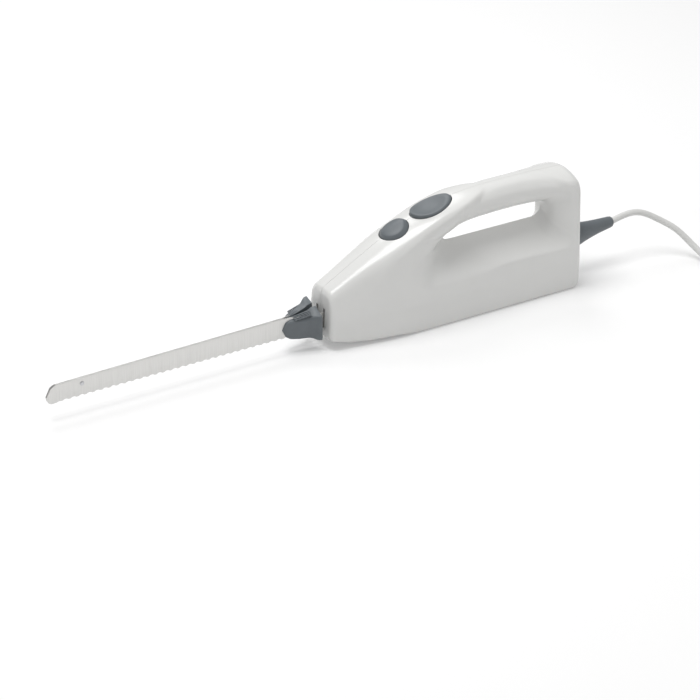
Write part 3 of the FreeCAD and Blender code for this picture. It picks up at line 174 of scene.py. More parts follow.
def finished(obj, *modifiers):
    """Turns the object's modifiers into plain mesh."""
    for kind, settings in modifiers:
        added = obj.modifiers.new(kind.lower(), kind)
        for key, value in settings.items():
            setattr(added, key, value)
    bpy.context.view_layer.update()
    made = bpy.data.meshes.new_from_object(obj.evaluated_get(bpy.context.evaluated_depsgraph_get()))
    obj.modifiers.clear()
    old = obj.data
    obj.data = made
    bpy.data.meshes.remove(old)
    return obj


def carve(obj, tool, operation="DIFFERENCE", keep=False):
    """One Boolean; the tool is removed afterwards unless it is kept."""
    finished(obj, ("BOOLEAN", dict(object=tool, operation=operation, solver="MANIFOLD")))
    if not keep:
        bpy.data.objects.remove(tool)
    return obj


def merged(name, objects):
    """Several objects' meshes in one new object; the old ones are removed."""
    work = bmesh.new()
    for obj in objects:
        work.from_mesh(obj.data)
        bpy.data.objects.remove(obj)
    mesh = bpy.data.meshes.new(name)
    work.to_mesh(mesh)
    work.free()
    obj = bpy.data.objects.new(name, mesh)
    bpy.context.scene.collection.objects.link(obj)
    return obj


def skin(name, level, voxel):
    """The surface where the housing's field has one level, as a closed mesh in metres."""
    low = np.array([-142.0, -34.0, -6.0])
    high = np.array([108.0, 34.0, 112.0])
    counts = np.ceil((high - low) / voxel).astype(int) + 1
    axes = [low[i] + voxel * np.arange(counts[i]) for i in range(3)]
    x, y, z = np.meshgrid(*axes, indexing="ij", sparse=True)
    values = housing_field(x, y, z) - level
    grid = openvdb.FloatGrid(background=3.0)
    grid.copyFromArray(np.clip(values, -3, 3).astype(np.float32))
    points, quads = grid.convertToQuads(isovalue=0.0)
    points = points * voxel + low
    step = 0.04
    for _ in range(4):
        distance = housing_field(*points.T) - level
        slope = np.stack([(housing_field(*(points + step * unit).T)
                           - housing_field(*(points - step * unit).T)) / (2 * step)
                          for unit in np.eye(3)], 1)
        move = slope * (distance / np.maximum((slope ** 2).sum(1), 0.2))[:, None]
        points -= np.clip(move, -0.4, 0.4)
    return mesh_object(name, points * MM, quads, 35)


def box(name, low, high, bevel=0.0):
    """A block between two corners in millimetres, its edges bevelled if asked."""
    work = bmesh.new()
    bmesh.ops.create_cube(work, size=1)
    for vertex in work.verts:
        vertex.co = [(low[i] + high[i]) / 2 * MM + vertex.co[i] * (high[i] - low[i]) * MM for i in range(3)]
    if bevel:
        bmesh.ops.bevel(work, geom=work.edges[:], offset=bevel * MM, segments=3, profile=0.5, affect="EDGES")
    mesh = bpy.data.meshes.new(name)
    work.to_mesh(mesh)
    work.free()
    obj = bpy.data.objects.new(name, mesh)
    bpy.context.scene.collection.objects.link(obj)
    shade(obj)
    return obj


def rings_to_mesh(rings, closed_ends=True):
    """Vertices and faces of a tube through equal rings of points."""
    count = len(rings[0])
    vertices = [point for ring in rings for point in ring]
    faces = []
    for row in range(len(rings) - 1):
        for i in range(count):
            j = (i + 1) % count
            faces.append((row * count + i, row * count + j, (row + 1) * count + j, (row + 1) * count + i))
    if closed_ends:
        faces.append(tuple(range(count - 1, -1, -1)))
        faces.append(tuple(range((len(rings) - 1) * count, len(rings) * count)))
    return vertices, faces


def turned(name, outline, origin, axis, count=40):
    """A solid of revolution: outline is (distance along the axis, radius) in millimetres."""
    turn = Vector((0, 0, 1)).rotation_difference(Vector(axis)).to_matrix()
    rings = []
    for along, radius in outline:
        ring = []
        for i in range(count):
            a = 2 * math.pi * i / count
            point = turn @ Vector((radius * math.cos(a), radius * math.sin(a), along))
            ring.append([(origin[k] + point[k]) * MM for k in range(3)])
        rings.append(ring)
    return mesh_object(name, *rings_to_mesh(rings))


def tilted_point(control, u, v, h):
    """A point on a sloping control, in metres: u runs back along it, v across, h above it."""
    lean = math.radians(control["tilt"])
    x0, z0 = control["centre"]
    x = x0 + u * math.cos(lean) - h * math.sin(lean)
    z = z0 + u * math.sin(lean) + h * math.cos(lean)
    return (x * MM, v * MM, z * MM)


def oval(name, control, outline, egg=0.0, dish=None, bend=0.0, count=96):
    """A cap with an oval plan: outline is (inset from the rim, height) from middle to middle."""
    rings = []
    for inset, height in outline:
        ring = []
        for i in range(count):
            a = 2 * math.pi * i / count
            long = max(control["long"] - inset, 0.02)
            wide = max(control["wide"] - inset, 0.02)
            u = long * math.cos(a)
            v = wide * math.sin(a) * (1 + egg * math.cos(a))
            lift = height - bend * v * v + (dish(u, v) if dish and height > -1.5 else 0)
            ring.append(tilted_point(control, u, v, lift))
        rings.append(ring)
    return mesh_object(name, *rings_to_mesh(rings), smooth=50)


# ---------------------------------------------------------------- housing
def screw_hole(x, z):
    """The stepped hole of one housing screw, across the joint plane."""
    return turned("screw_hole", [(-6.6, 1.6), (8.0, 1.6), (8.0, 3.2), (40, 3.2)], (x, 0, z), (0, 1, 0), 32)


def housing_cutters():
    """The holes that go through the finished wall."""
    holes = [screw_hole(x, z) for x, z in SCREW_XZ]
    for sign in (-1, 1):
        holes.append(box("nose_slot", (-142, sign * 5 - 1.6, 15), (-126, sign * 5 + 1.6, 32.5), 0.5))
        for index in range(6):
            x = 14 + 7 * index
            low, high = (-20, -5) if sign < 0 else (5, 20)
            holes.append(box("vent", (x, low, -3), (x + 2.6, high, 3.4), 0.5))
    for name, control, middle, gap, egg in (("button_hole", BUTTON, 13.1, 0.5, 0.0),
                                            ("trigger_hole", TRIGGER, 18.5, 0.55, TRIGGER_EGG)):
        hole = [(middle, -14), (-gap, -14), (-gap, 14), (middle, 14)]
        holes.append(oval(name, control, hole, egg=egg))
    holes.append(turned("relief_hole", [(90, 6.6), (104, 6.6)], (0, 0, 32.6), (1, 0, 0)))
    return merged("housing_cutters", holes)


def housing():
    outer = skin("housing_outer", 0.0, 0.95)
    inner = skin("housing_inner", -WALL, 1.6)
    posts = [turned("post", [(-34, 4.4), (34, 4.4)], (x, 0, z), (0, 1, 0), 28) for x, z in SCREW_XZ]
    carve(inner, merged("posts", posts))
    cutters = housing_cutters()
    for name, sign in (("shell_left", -1), ("shell_right", 1)):
        half = outer if sign > 0 else outer.copy()
        if sign < 0:
            half.data = outer.data.copy()
            bpy.context.scene.collection.objects.link(half)
        near, far = (-SEAM, 60) if sign < 0 else (-60, SEAM)
        low, high = (-160, near, -20), (120, far, 130)
        carve(half, box("other_half", low, high))
        carve(half, inner, keep=True)
        carve(half, cutters, keep=True)
        half.name = name + "_look"
        shade(half, 35)
        settle(half, "housing", "housing_white", WHITE, name)
    for tool in (inner, cutters):
        bpy.data.objects.remove(tool)


def settle(obj, body, slot, material, *nodes):
    """Gives a finished piece its material and body and hides the CAD nodes it stands for; the slot is not
    used.
    """
    obj.data.materials.clear()
    obj.data.materials.append(material)
    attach(obj, body)
    if nodes:
        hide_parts(*nodes)


# ---------------------------------------------------------------- controls
def release_button():
    """The button with its soft rim, its skirt and the hollow under it."""
    outline = [(12, 2.9), (9, 2.85), (5, 2.6), (2.9, 2.25), (2.3, 2.0), (1.6, 1.3), (0.7, 0.35),
               (0.15, -0.5), (0, -1.6), (0, -7), (0.4, -7.3), (1.6, -7.3), (2, -7), (2, -1.2), (2.6, -0.6),
               (6, -0.3), (12, -0.3)]
    cap = oval("release_button_look", BUTTON, outline, bend=0.018)
    settle(cap, "release", "control_grey", GREY, "release_button")


def trigger():
    """The dished trigger with the arm that its pin goes through and the leg over the switch."""
    def dish(u, v):
        """The hollow for the finger, deepest ahead of the middle."""
        reach = math.hypot((u + 3) / 17, v / 12)
        return -3.4 * max(0.0, 1 - reach * reach) ** 1.1

    steps = [(18.5 * (1 - k / 14), 1.35) for k in range(13)]
    outline = steps + [(1.3, 1.3), (0.8, 1.1), (0.3, 0.6), (0.05, 0), (0, -1.6), (0, -6), (18.5, -6)]
    cap = oval("trigger_cap", TRIGGER, outline, egg=TRIGGER_EGG, dish=dish, bend=0.014)
    arm = box("trigger_arm", (-30, -6.8, 87.9), (-4.7, 6.8, 93.5), 0.6)
    bore = turned("pin_bore", [(-20, 1.56), (20, 1.56)], (-8, 0, 91), (0, 1, 0), 32)
    carve(arm, bore)
    carve(cap, arm, "UNION")
    leg = box("trigger_leg", (-50, -2, 76.65), (-46, 2, 90.6), 0.3)
    carve(cap, leg, "UNION")
    shade(cap, 50)
    settle(cap, "trigger", "control_grey", GREY, "trigger")


# ---------------------------------------------------------------- blades
BLADE_TIP = -369.0
BLADE_ROOT = -150.0
TANG_END = -108
BLADE_THICK = 1.0
SPINE = 30.9
EDGE = 12.6
PITCH = 6.5


def blade_top(x):
    """Height of the blade's back: straight, then the chamfer and the slope of the tip."""
    return np.interp(x, [BLADE_TIP, -365.6, -363.6, -361.4, BLADE_ROOT - 6, BLADE_ROOT, TANG_END],
                     [19.0, 25.6, 27.0, 27.9, SPINE, 29.5, 29.5])


def blade_bottom(x):
    """Height of the cutting edge: scallops, each of them between two small teeth."""
    phase = ((x - BLADE_TIP - 5) / PITCH) % 1.0
    scallop = 1.25 * np.sin(np.pi * np.clip((phase - 0.18) / 0.82, 0, 1)) ** 0.8
    teeth = 0.55 * np.abs(np.sin(np.pi * phase / 0.09)) * (phase < 0.18)
    toothed = EDGE + np.where(phase < 0.18, teeth, scallop)
    ends = np.clip(np.minimum((x - BLADE_TIP - 8) / 3, (BLADE_ROOT - 10 - x) / 3), 0, 1)
    low = EDGE + (toothed - EDGE) * ends
    tip = np.interp(x, [BLADE_TIP, BLADE_TIP + 0.5, BLADE_TIP + 1.6, BLADE_TIP + 3.4, BLADE_TIP + 5.5],
                    [18.2, 15.6, 13.7, 12.75, EDGE])
    root = np.interp(x, [BLADE_ROOT - 5, BLADE_ROOT, TANG_END], [EDGE, 16.5, 16.5])
    return np.where(x < BLADE_TIP + 5.5, tip, np.where(x > BLADE_ROOT - 5, root, low))


def crank(x):
    """Distance of the blade's inner face from the joint plane along its length."""
    return np.interp(x, [-400, -168, -147, -100], [0.25, 0.25, 4.5, 4.5])


def blade(name, sign):
    """One blade: a flat back, a ground face that thins towards scalloped teeth, a cranked tang."""
    tip = BLADE_TIP + np.array([0, 0.12, 0.3, 0.5, 0.8, 1.2, 1.6, 2.2, 2.8, 3.4, 4.2, 5.5])
    x = np.concatenate([tip, np.arange(BLADE_TIP + 5.8, BLADE_ROOT - 5, 0.29), np.linspace(-155, -140, 16),
                        np.linspace(-138, TANG_END, 8)])
    top = blade_top(x)
    low = blade_bottom(x)
    inner = crank(x)
    grind = np.interp(x, [BLADE_TIP, BLADE_TIP + 8, -166, -156, -100], [0.35, 1, 1, 0, 0])
    fluted = 3.3 + 1.1 * np.cos(2 * np.pi * (x - BLADE_TIP - 5) / PITCH)
    rise = np.minimum(fluted * grind + 0.3, 0.45 * (top - low) + 0.05)
    chamfer = np.minimum(0.25, 0.1 * (top - low))
    outer = inner + BLADE_THICK
    rows = [(top - chamfer, inner), (top, inner + 0.2), (top, inner + 0.8), (top - chamfer, outer),
            (low + rise * 1.9, outer), (low + rise, outer - 0.16 * grind),
            (low + 0.02, outer - 0.72 * grind), (low, inner + 0.1)]
    rings = [[(x[i] * MM, sign * row[1][i] * MM, row[0][i] * MM) for row in rows] for i in range(len(x))]
    return mesh_object(name, *rings_to_mesh(rings), smooth=30)


def blades():
    at = (-340, 0, EDGE + 10.8)
    left = blade("blade_left_look", -1)
    carve(left, turned("stud_hole", [(-12, 1.82), (12, 1.82)], at, (0, 1, 0)))
    shade(left, 30)
    right = blade("blade_right_look", 1)
    slot = box("stud_slot", (at[0] - 10, -12, at[2] - 2.1), (at[0] + 10, 12, at[2] + 2.1), 1.0)
    carve(right, slot)
    shade(right, 30)
    stud = turned("blade_stud_look", [(0.02, 1.5), (-0.1, 1.8), (-1.4, 1.8), (-1.7, 1.5), (-1.78, 0.9)],
                  at, (0, 1, 0), 32)
    settle(left, "left_blade", "blade_steel", BLADE, "blade_left")
    settle(stud, "left_blade", "blade_steel", STEEL, "blade_stud")
    settle(right, "right_blade", "blade_steel", BLADE, "blade_right")


# ---------------------------------------------------------------- blade tabs
def tab(name, sign):
    """The grip of one blade: a rounded lobe that flares out into a tall rear flange."""
    stations = np.concatenate([np.linspace(-169, -164, 9), np.linspace(-163, -148, 13),
                               np.linspace(-147.4, -139.5, 12)])
    high = profile([(-175, 20), (-169, 22), (-166.5, 27.2), (-162, 30.4), (-155, 31.4), (-147, 33.4),
                    (-143.6, 35.4), (-136, 35.6)], 0.9)(stations)
    low = profile([(-175, 24), (-169, 20), (-167, 15.2), (-163, 12.5), (-156, 11.5), (-149, 11.4),
                   (-145, 10.8), (-142.6, 9.3), (-136, 9.0)], 0.9)(stations)
    outer = profile([(-175, 1.8), (-169, 2.8), (-163, 4.8), (-155, 7.2), (-148, 8.8), (-143.6, 11.4),
                     (-141.5, 13.4), (-136, 13.7)], 0.9)(stations)
    inner = np.interp(stations, [-169, -165, -139.5], [0.3, 0.3, 2.9])
    fall = 2.2 if sign > 0 else -4.2
    slant = np.interp(stations, [-168, -160, -144, -139.5], np.multiply([0, 0.4, 1, 1], fall))
    pinch = np.clip((stations + 169) / 2.2, 0.12, 1) ** 0.5
    middle = (high + low) / 2
    high = middle + (high - middle) * pinch
    low = middle + (low - middle) * pinch
    outer = inner + (outer - inner) * pinch
    rings = []
    for x, up, down, far, near, tip in zip(stations, high, low, outer, inner, slant):
        r = min(2.6, 0.45 * (far - near))
        line = [(near, down), (near, up)]
        for k in range(7):
            a = math.radians(90 - 15 * k)
            line.append((far - r + r * math.cos(a), up + tip - r + r * math.sin(a)))
        for k in range(7):
            a = math.radians(-15 * k)
            line.append((far - r + r * math.cos(a), down + r + r * math.sin(a)))
        rings.append([(x * MM, sign * y * MM, z * MM) for y, z in line])
    body = mesh_object(name, *rings_to_mesh(rings), smooth=50)
    slot_x = np.array([-172, -168, -147, -139])
    near = crank(slot_x)
    slot = [[(x * MM, sign * (y + side) * MM, z * MM)
             for side, z in ((-0.02, 12.5), (1.02, 12.5), (1.02, 31), (-0.02, 31))]
            for x, y in zip(slot_x, near)]
    carve(body, mesh_object("tang_slot", *rings_to_mesh(slot)))
    shade(body, 50)
    return body


def rib_tree():
    """Geometry Nodes: ribs set side by side, each one a bar along a sloping line."""
    tree = bpy.data.node_groups.new("ribs", "GeometryNodeTree")
    face = tree.interface
    face.new_socket("Geometry", in_out="INPUT", socket_type="NodeSocketGeometry")
    sockets = {}
    for name, kind in (("Start", "NodeSocketVector"), ("End", "NodeSocketVector"),
                       ("Step", "NodeSocketVector"), ("Count", "NodeSocketInt"),
                       ("Radius", "NodeSocketFloat"), ("Material", "NodeSocketMaterial")):
        sockets[name] = face.new_socket(name, in_out="INPUT", socket_type=kind).identifier
    face.new_socket("Geometry", in_out="OUTPUT", socket_type="NodeSocketGeometry")
    nodes = tree.nodes
    link = tree.links.new
    given = nodes.new("NodeGroupInput")
    result = nodes.new("NodeGroupOutput")
    line = nodes.new("GeometryNodeCurvePrimitiveLine")
    link(given.outputs["Start"], line.inputs["Start"])
    link(given.outputs["End"], line.inputs["End"])
    dense = nodes.new("GeometryNodeResampleCurve")
    dense.inputs["Count"].default_value = 9
    link(line.outputs[0], dense.inputs["Curve"])
    spots = nodes.new("GeometryNodePoints")
    link(given.outputs["Count"], spots.inputs["Count"])
    number = nodes.new("GeometryNodeInputIndex")
    apart = nodes.new("ShaderNodeVectorMath")
    apart.operation = "SCALE"
    link(given.outputs["Step"], apart.inputs[0])
    link(number.outputs[0], apart.inputs["Scale"])
    link(apart.outputs[0], spots.inputs["Position"])
    copies = nodes.new("GeometryNodeInstanceOnPoints")
    link(spots.outputs[0], copies.inputs["Points"])
    link(dense.outputs[0], copies.inputs["Instance"])
    real = nodes.new("GeometryNodeRealizeInstances")
    link(copies.outputs[0], real.inputs[0])
    ring = nodes.new("GeometryNodeCurvePrimitiveCircle")
    ring.inputs["Resolution"].default_value = 8
    link(given.outputs["Radius"], ring.inputs["Radius"])
    tube = nodes.new("GeometryNodeCurveToMesh")
    tube.inputs["Fill Caps"].default_value = True
    link(real.outputs[0], tube.inputs["Curve"])
    link(ring.outputs[0], tube.inputs["Profile Curve"])
    paint = nodes.new("GeometryNodeSetMaterial")
    link(tube.outputs[0], paint.inputs["Geometry"])
    link(given.outputs["Material"], paint.inputs["Material"])
    link(paint.outputs[0], result.inputs[0])
    return tree, sockets


def ribs(name, start, end, step, count, radius, material):
    """A row of ribs made by the tree above, as a plain mesh; lengths in millimetres."""
    tree, sockets = RIB_TREE
    obj = bpy.data.objects.new(name, bpy.data.meshes.new(name))
    bpy.context.scene.collection.objects.link(obj)
    modifier = obj.modifiers.new("ribs", "NODES")
    modifier.node_group = tree
    values = {"Start": [v * MM for v in start], "End": [v * MM for v in end],
              "Step": [v * MM for v in step], "Count": count, "Radius": radius * MM,
              "Material": material}
    for key, value in values.items():
        modifier[sockets[key]] = value
    finished(obj)
    face_out(obj.data)
    shade(obj, 60)
    return obj


def tabs():
    """Both tabs, each with four grip ribs along its top that follow its slope."""
    for side, sign, rise in (("left", -1, -0.5), ("right", 1, 0.34)):
        name = "tab_" + side
        body = tab(name + "_look", sign)
        settle(body, side + "_blade", "control_grey", GREY, name)
        rows = ribs(name + "_ribs", (-160, sign * 1.9, 30.9), (-146, sign * 4.3, 33.4),
                    (0, sign * 1.3, rise), 4, 0.5, GREY)
        settle(rows, side + "_blade", "control_grey", GREY)


# ---------------------------------------------------------------- cord and its ends
PLUG_X = 289.4
PLUG_SHIFT = -1.0
PLUG_Z = 6.85
CORD_ROUTE = [(149.3, 0, 36.74), (164, 0, 40.6), (179, -2.3, 40), (194, -8.4, 31.5), (205.5, -19, 24),
              (213, -31, 12.8), (217.2, -44.5, 5)]
TAIL_ROUTE = [(289.4, -47.5, 11.5), (289.4, -37, 8), (289.4, -28, 6.85), (289.4, -22, 6.85)]
COIL_X, COIL_Y = 254.0, -60.0
COIL_RADII = (35.4, 30.0, 24.6)
COIL_HEIGHTS = (2.75, 8.15, 13.55)
# where each turn lies: (which radius, which height), each one beside or on the turn before it
COIL_CELLS = [(0, 0), (0, 1), (1, 1), (1, 0), (2, 0), (2, 1), (2, 2), (1, 2), (0, 2)]
COIL_STEPS = 16
CORD_WIDE = 5.4


def coil_points():
    """The coil's turns: each shifts to its next place under the tie."""
    points = []
    last = len(COIL_CELLS) - 1
    for step in range(COIL_STEPS * last + COIL_STEPS // 2 + 1):
        passed = step / COIL_STEPS
        lap = int(passed + 0.25 + 1e-6)
        blend = 1.0 if abs(passed + 0.25 - lap) > 1e-6 else 0.5
        here = COIL_CELLS[min(lap, last)]
        before = COIL_CELLS[max(min(lap, last) - 1, 0)]
        radius = COIL_RADII[here[0]] * blend + COIL_RADII[before[0]] * (1 - blend)
        height = COIL_HEIGHTS[here[1]] * blend + COIL_HEIGHTS[before[1]] * (1 - blend)
        angle = math.pi + 2 * math.pi * passed
        points.append((COIL_X + 1.02 * radius * math.cos(angle),
                       COIL_Y + 1.02 * radius * math.sin(angle), height))
    return points


def cord():
    """The mains cord: out of the relief, down to the table, round the coil and to the plug."""
    route = CORD_ROUTE + coil_points() + TAIL_ROUTE
    curve = bpy.data.curves.new("mains_cord_look", "CURVE")
    curve.dimensions = "3D"
    spline = curve.splines.new("NURBS")
    spline.points.add(len(route) - 1)
    for point, place in zip(spline.points, route):
        point.co = (*[v * MM for v in place], 1)
    spline.order_u = 3
    spline.use_endpoint_u = True
    spline.resolution_u = 4
    curve.bevel_depth = CORD_WIDE / 2 * MM
    curve.bevel_resolution = 4
    curve.use_fill_caps = True
    curve.materials.append(CORD)
    obj = bpy.data.objects.new("mains_cord_look", curve)
    bpy.context.scene.collection.objects.link(obj)
    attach(obj, "housing")
    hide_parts("mains_cord", "cord_coil", "cord_tail")
    return obj


def strain_relief():
    """A moulded boot, tall and flared where it meets the housing, with a neck in the wall."""
    # (x, height of the axis, half height, half width)
    rows = [(95.0, 32.6, 6.4, 6.4), (98.4, 32.6, 6.4, 6.4), (98.5, 32.4, 13.0, 9.6),
            (99.4, 32.4, 14.0, 10.4), (100.8, 32.4, 14.1, 10.4), (103, 32.6, 13.4, 10.0),
            (108, 33.1, 12.0, 9.1), (113, 33.7, 10.5, 8.2), (119, 34.4, 8.9, 7.3), (126, 35.1, 7.5, 6.5),
            (134, 35.8, 6.3, 5.7), (142, 36.4, 5.4, 5.1), (147, 36.7, 4.9, 4.8), (148.8, 36.8, 4.5, 4.4),
            (149.4, 36.9, 3.9, 3.9), (149.6, 36.9, 2.75, 2.75)]
    rings = []
    for x, z, tall, wide in rows:
        rings.append([(x * MM, wide * math.cos(a) * MM, (z + tall * math.sin(a)) * MM)
                      for a in (2 * math.pi * i / 48 for i in range(48))])
    boot = mesh_object("strain_relief_look", *rings_to_mesh(rings), smooth=50)
    settle(boot, "housing", "control_grey", GREY, "strain_relief")


def plug():
    """A flat two-pin plug: a waisted body with finger ribs and two pins."""
    # (y, half width, half height)
    rows = [(-24.4, 4.4, 3.4), (-24, 4.9, 3.9), (-21, 5.2, 4.1), (-18, 6.2, 4.5), (-14, 10.5, 5.4),
            (-9, 15.0, 6.1), (-4, 16.9, 6.5), (2, 17.5, 6.7), (9, 17.6, 6.8), (11, 17.4, 6.6),
            (11.8, 16.6, 5.8), (12, 15.4, 4.6)]
    rings = []
    for y, wide, tall in rows:
        ring = []
        for i in range(56):
            a = 2 * math.pi * i / 56
            c, s = math.cos(a), math.sin(a)
            ring.append(((PLUG_X + wide * math.copysign(abs(c) ** 0.55, c)) * MM, (y + PLUG_SHIFT) * MM,
                         (PLUG_Z + tall * math.copysign(abs(s) ** 0.55, s)) * MM))
        rings.append(ring)
    body = mesh_object("plug_body_look", *rings_to_mesh(rings), smooth=50)
    settle(body, "housing", "cord_white", CORD, "plug_body")
    rows = [ribs(f"plug_ribs_{side}", (PLUG_X - 8, -10, z), (PLUG_X + 8, -10, z), (0, 2.6, lift), 4, 0.5,
                 CORD)
            for side, z, lift in (("top", 12.75, 0.12), ("under", 0.95, -0.12))]
    grip = merged("plug_ribs", rows)
    shade(grip, 60)
    settle(grip, "housing", "cord_white", CORD)
    pins = []
    for sign in (-1, 1):
        tip = [(0, 2), (17.6, 2), (18.5, 1.75), (18.9, 1.3), (19, 0.6)]
        pins.append(turned("pin", tip, (PLUG_X + sign * 9.3, 11, PLUG_Z), (0, 1, 0), 24))
    pins = merged("plug_pins_look", pins)
    shade(pins)
    settle(pins, "housing", "brass", BRASS, "plug_pins")
    return body, grip, pins


def tie():
    """A nylon band round the coil's turns, with its small lock."""
    # each corner's place and which way it points
    corners = [(-39.4, 0.0, -1, -1), (-20.6, 0.0, 1, -1), (-20.6, 17.4, 1, 1), (-39.4, 17.4, -1, 1)]
    starts = {(-1, -1): 180, (1, -1): 270, (1, 1): 0, (-1, 1): 90}
    round_off = 3.2
    rings = []
    for wide, grow in ((-4.3, 0.35), (-4.5, 0.0), (4.5, 0.0), (4.3, 0.35)):
        ring = []
        for y, z, sy, sz in corners:
            for k in range(7):
                a = math.radians(starts[sy, sz] + 15 * k)
                ring.append(((COIL_X + wide) * MM,
                             (y - sy * round_off + (round_off - grow) * math.cos(a)) * MM,
                             (z - sz * round_off + (round_off - grow) * math.sin(a)) * MM))
        rings.append(ring)
    band = mesh_object("cord_tie_look", *rings_to_mesh(rings))
    hollow = [[((COIL_X + wide) * MM, (y - sy) * MM, (z - sz) * MM) for y, z, sy, sz in corners]
              for wide in (-6, 6)]
    carve(band, mesh_object("band_hollow", *rings_to_mesh(hollow)))
    carve(band, box("tie_lock", (COIL_X - 3, -33.5, 16.2), (COIL_X + 3, -26.5, 18.6), 0.5), "UNION")
    shade(band)
    settle(band, "housing", "tie_white", NYLON, "cord_tie")
    return band


# ---------------------------------------------------------------- screws of the housing
def housing_screws():
    """The seven pan-head screws with cross recesses, set in their seats."""
    made = []
    for x, z in SCREW_XZ:
        outline = [(-6, 0.4), (-5.2, 1.5), (8, 1.5), (8, 3), (9.2, 3), (9.8, 2.6), (10, 1.8), (10.05, 0.4)]
        screw = turned("screw", outline, (x, 0, z), (0, 1, 0), 28)
        for size_x, size_z in ((1.7, 0.45), (0.45, 1.7)):
            carve(screw, box("recess", (x - size_x, 9, z - size_z), (x + size_x, 11, z + size_z)))
        made.append(screw)
    screws = merged("housing_screws_look", made)
    shade(screws)
    settle(screws, "housing", "screw_steel", STEEL, "housing_screws")


# ---------------------------------------------------------------- materials
def material(name, colour, roughness, metallic=0.0, vary=0.03, grain=(60, 60, 60), bump=0.04,
             depth=0.0002, fine=900, rough_vary=0.08, **sockets):
    """A procedural finish: drifting colour and roughness, and a fine surface grain."""
    made = bpy.data.materials.new(name)
    made.use_nodes = True
    tree = made.node_tree
    nodes = tree.nodes
    link = tree.links.new
    shader = nodes["Principled BSDF"]
    shader.inputs["Metallic"].default_value = metallic
    for key, value in sockets.items():
        shader.inputs[key.replace("_", " ")].default_value = value
    place = nodes.new("ShaderNodeTexCoord")
    stretch = nodes.new("ShaderNodeMapping")
    stretch.inputs["Scale"].default_value = grain
    link(place.outputs["Object"], stretch.inputs["Vector"])
    drift = nodes.new("ShaderNodeTexNoise")
    drift.inputs["Scale"].default_value = 1.0
    drift.inputs["Detail"].default_value = 4
    link(stretch.outputs[0], drift.inputs["Vector"])
    tint = nodes.new("ShaderNodeMapRange")
    tint.inputs["From Min"].default_value = 0.3
    tint.inputs["From Max"].default_value = 0.7
    link(drift.outputs[0], tint.inputs["Value"])
    mix = nodes.new("ShaderNodeMix")
    mix.data_type = "RGBA"
    mix.inputs["A"].default_value = (*[c * (1 - vary) for c in colour], 1)
    mix.inputs["B"].default_value = (*[min(c * (1 + vary), 1) for c in colour], 1)
    link(tint.outputs[0], mix.inputs["Factor"])
    link(mix.outputs["Result"], shader.inputs["Base Color"])
    rough = nodes.new("ShaderNodeMapRange")
    rough.inputs["From Min"].default_value = 0.3
    rough.inputs["From Max"].default_value = 0.7
    rough.inputs["To Min"].default_value = roughness * (1 - rough_vary)
    rough.inputs["To Max"].default_value = roughness * (1 + rough_vary)
    link(drift.outputs[0], rough.inputs["Value"])
    link(rough.outputs[0], shader.inputs["Roughness"])
    pits = nodes.new("ShaderNodeTexNoise")
    pits.inputs["Scale"].default_value = fine
    pits.inputs["Detail"].default_value = 2
    if max(grain) > 4 * min(grain):    # a brushed or wound surface: the fine grain is drawn out too
        link(stretch.outputs[0], pits.inputs["Vector"])
        pits.inputs["Scale"].default_value = 3.0
    else:
        link(place.outputs["Object"], pits.inputs["Vector"])
    relief = nodes.new("ShaderNodeBump")
    relief.inputs["Strength"].default_value = bump
    relief.inputs["Distance"].default_value = depth
    link(pits.outputs[0], relief.inputs["Height"])
    link(relief.outputs[0], shader.inputs["Normal"])
    return made


WHITE = material("gloss_white_plastic", (0.78, 0.78, 0.765), 0.24, vary=0.012, bump=0.02, fine=300,
                 grain=(25, 25, 25), Coat_Weight=0.25, Coat_Roughness=0.12, IOR=1.5)
GREY = material("satin_blue_grey_plastic", (0.135, 0.152, 0.165), 0.42, vary=0.06, bump=0.25, fine=2200,
                grain=(90, 90, 90), rough_vary=0.12)
BLADE = material("ground_blade_steel", (0.66, 0.655, 0.64), 0.34, 1.0, vary=0.07, grain=(2600, 60, 34),
                 bump=0.12, depth=0.0001, rough_vary=0.2)
STEEL = material("zinc_plated_steel", (0.55, 0.555, 0.57), 0.32, 1.0, vary=0.08, bump=0.1,
                 grain=(400, 400, 400))
SPRING = material("spring_wire_steel", (0.42, 0.43, 0.45), 0.3, 1.0, vary=0.1, grain=(800, 800, 90), bump=0.1)
CORE = material("varnished_laminations", (0.16, 0.165, 0.18), 0.4, 0.8, vary=0.25, bump=0.5,
                grain=(1900, 20, 20))
COPPER = material("enamelled_copper", (0.55, 0.24, 0.11), 0.28, 1.0, vary=0.18, bump=0.6,
                  grain=(50, 1400, 1400))
BRASS = material("turned_brass", (0.66, 0.5, 0.24), 0.26, 1.0, vary=0.06, grain=(900, 60, 60), bump=0.12)
BLACK = material("glass_filled_black", (0.022, 0.022, 0.025), 0.5, vary=0.2, fine=1600, bump=0.3)
ACETAL = material("natural_acetal", (0.72, 0.69, 0.58), 0.38, vary=0.03, fine=1200, bump=0.08)
CARBON = material("pressed_carbon", (0.012, 0.012, 0.014), 0.62, vary=0.3, fine=2600, bump=0.5)
LEAD = material("brown_insulation", (0.11, 0.045, 0.022), 0.4, vary=0.12, fine=1500, bump=0.12)
CORD = material("white_flex_sheath", (0.72, 0.72, 0.705), 0.36, vary=0.025, fine=1400, bump=0.12,
                grain=(120, 120, 120))
NYLON = material("nylon_tie", (0.66, 0.66, 0.64), 0.3, vary=0.04, fine=1100, bump=0.1)
FINISH = {"housing_white": WHITE, "control_grey": GREY, "blade_steel": BLADE, "screw_steel": STEEL,
          "spring_steel": SPRING, "core_steel": CORE, "copper": COPPER, "brass": BRASS,
          "frame_plastic": BLACK, "gear_plastic": ACETAL, "carbon": CARBON, "lead_brown": LEAD,
          "cord_white": CORD, "tie_white": NYLON}


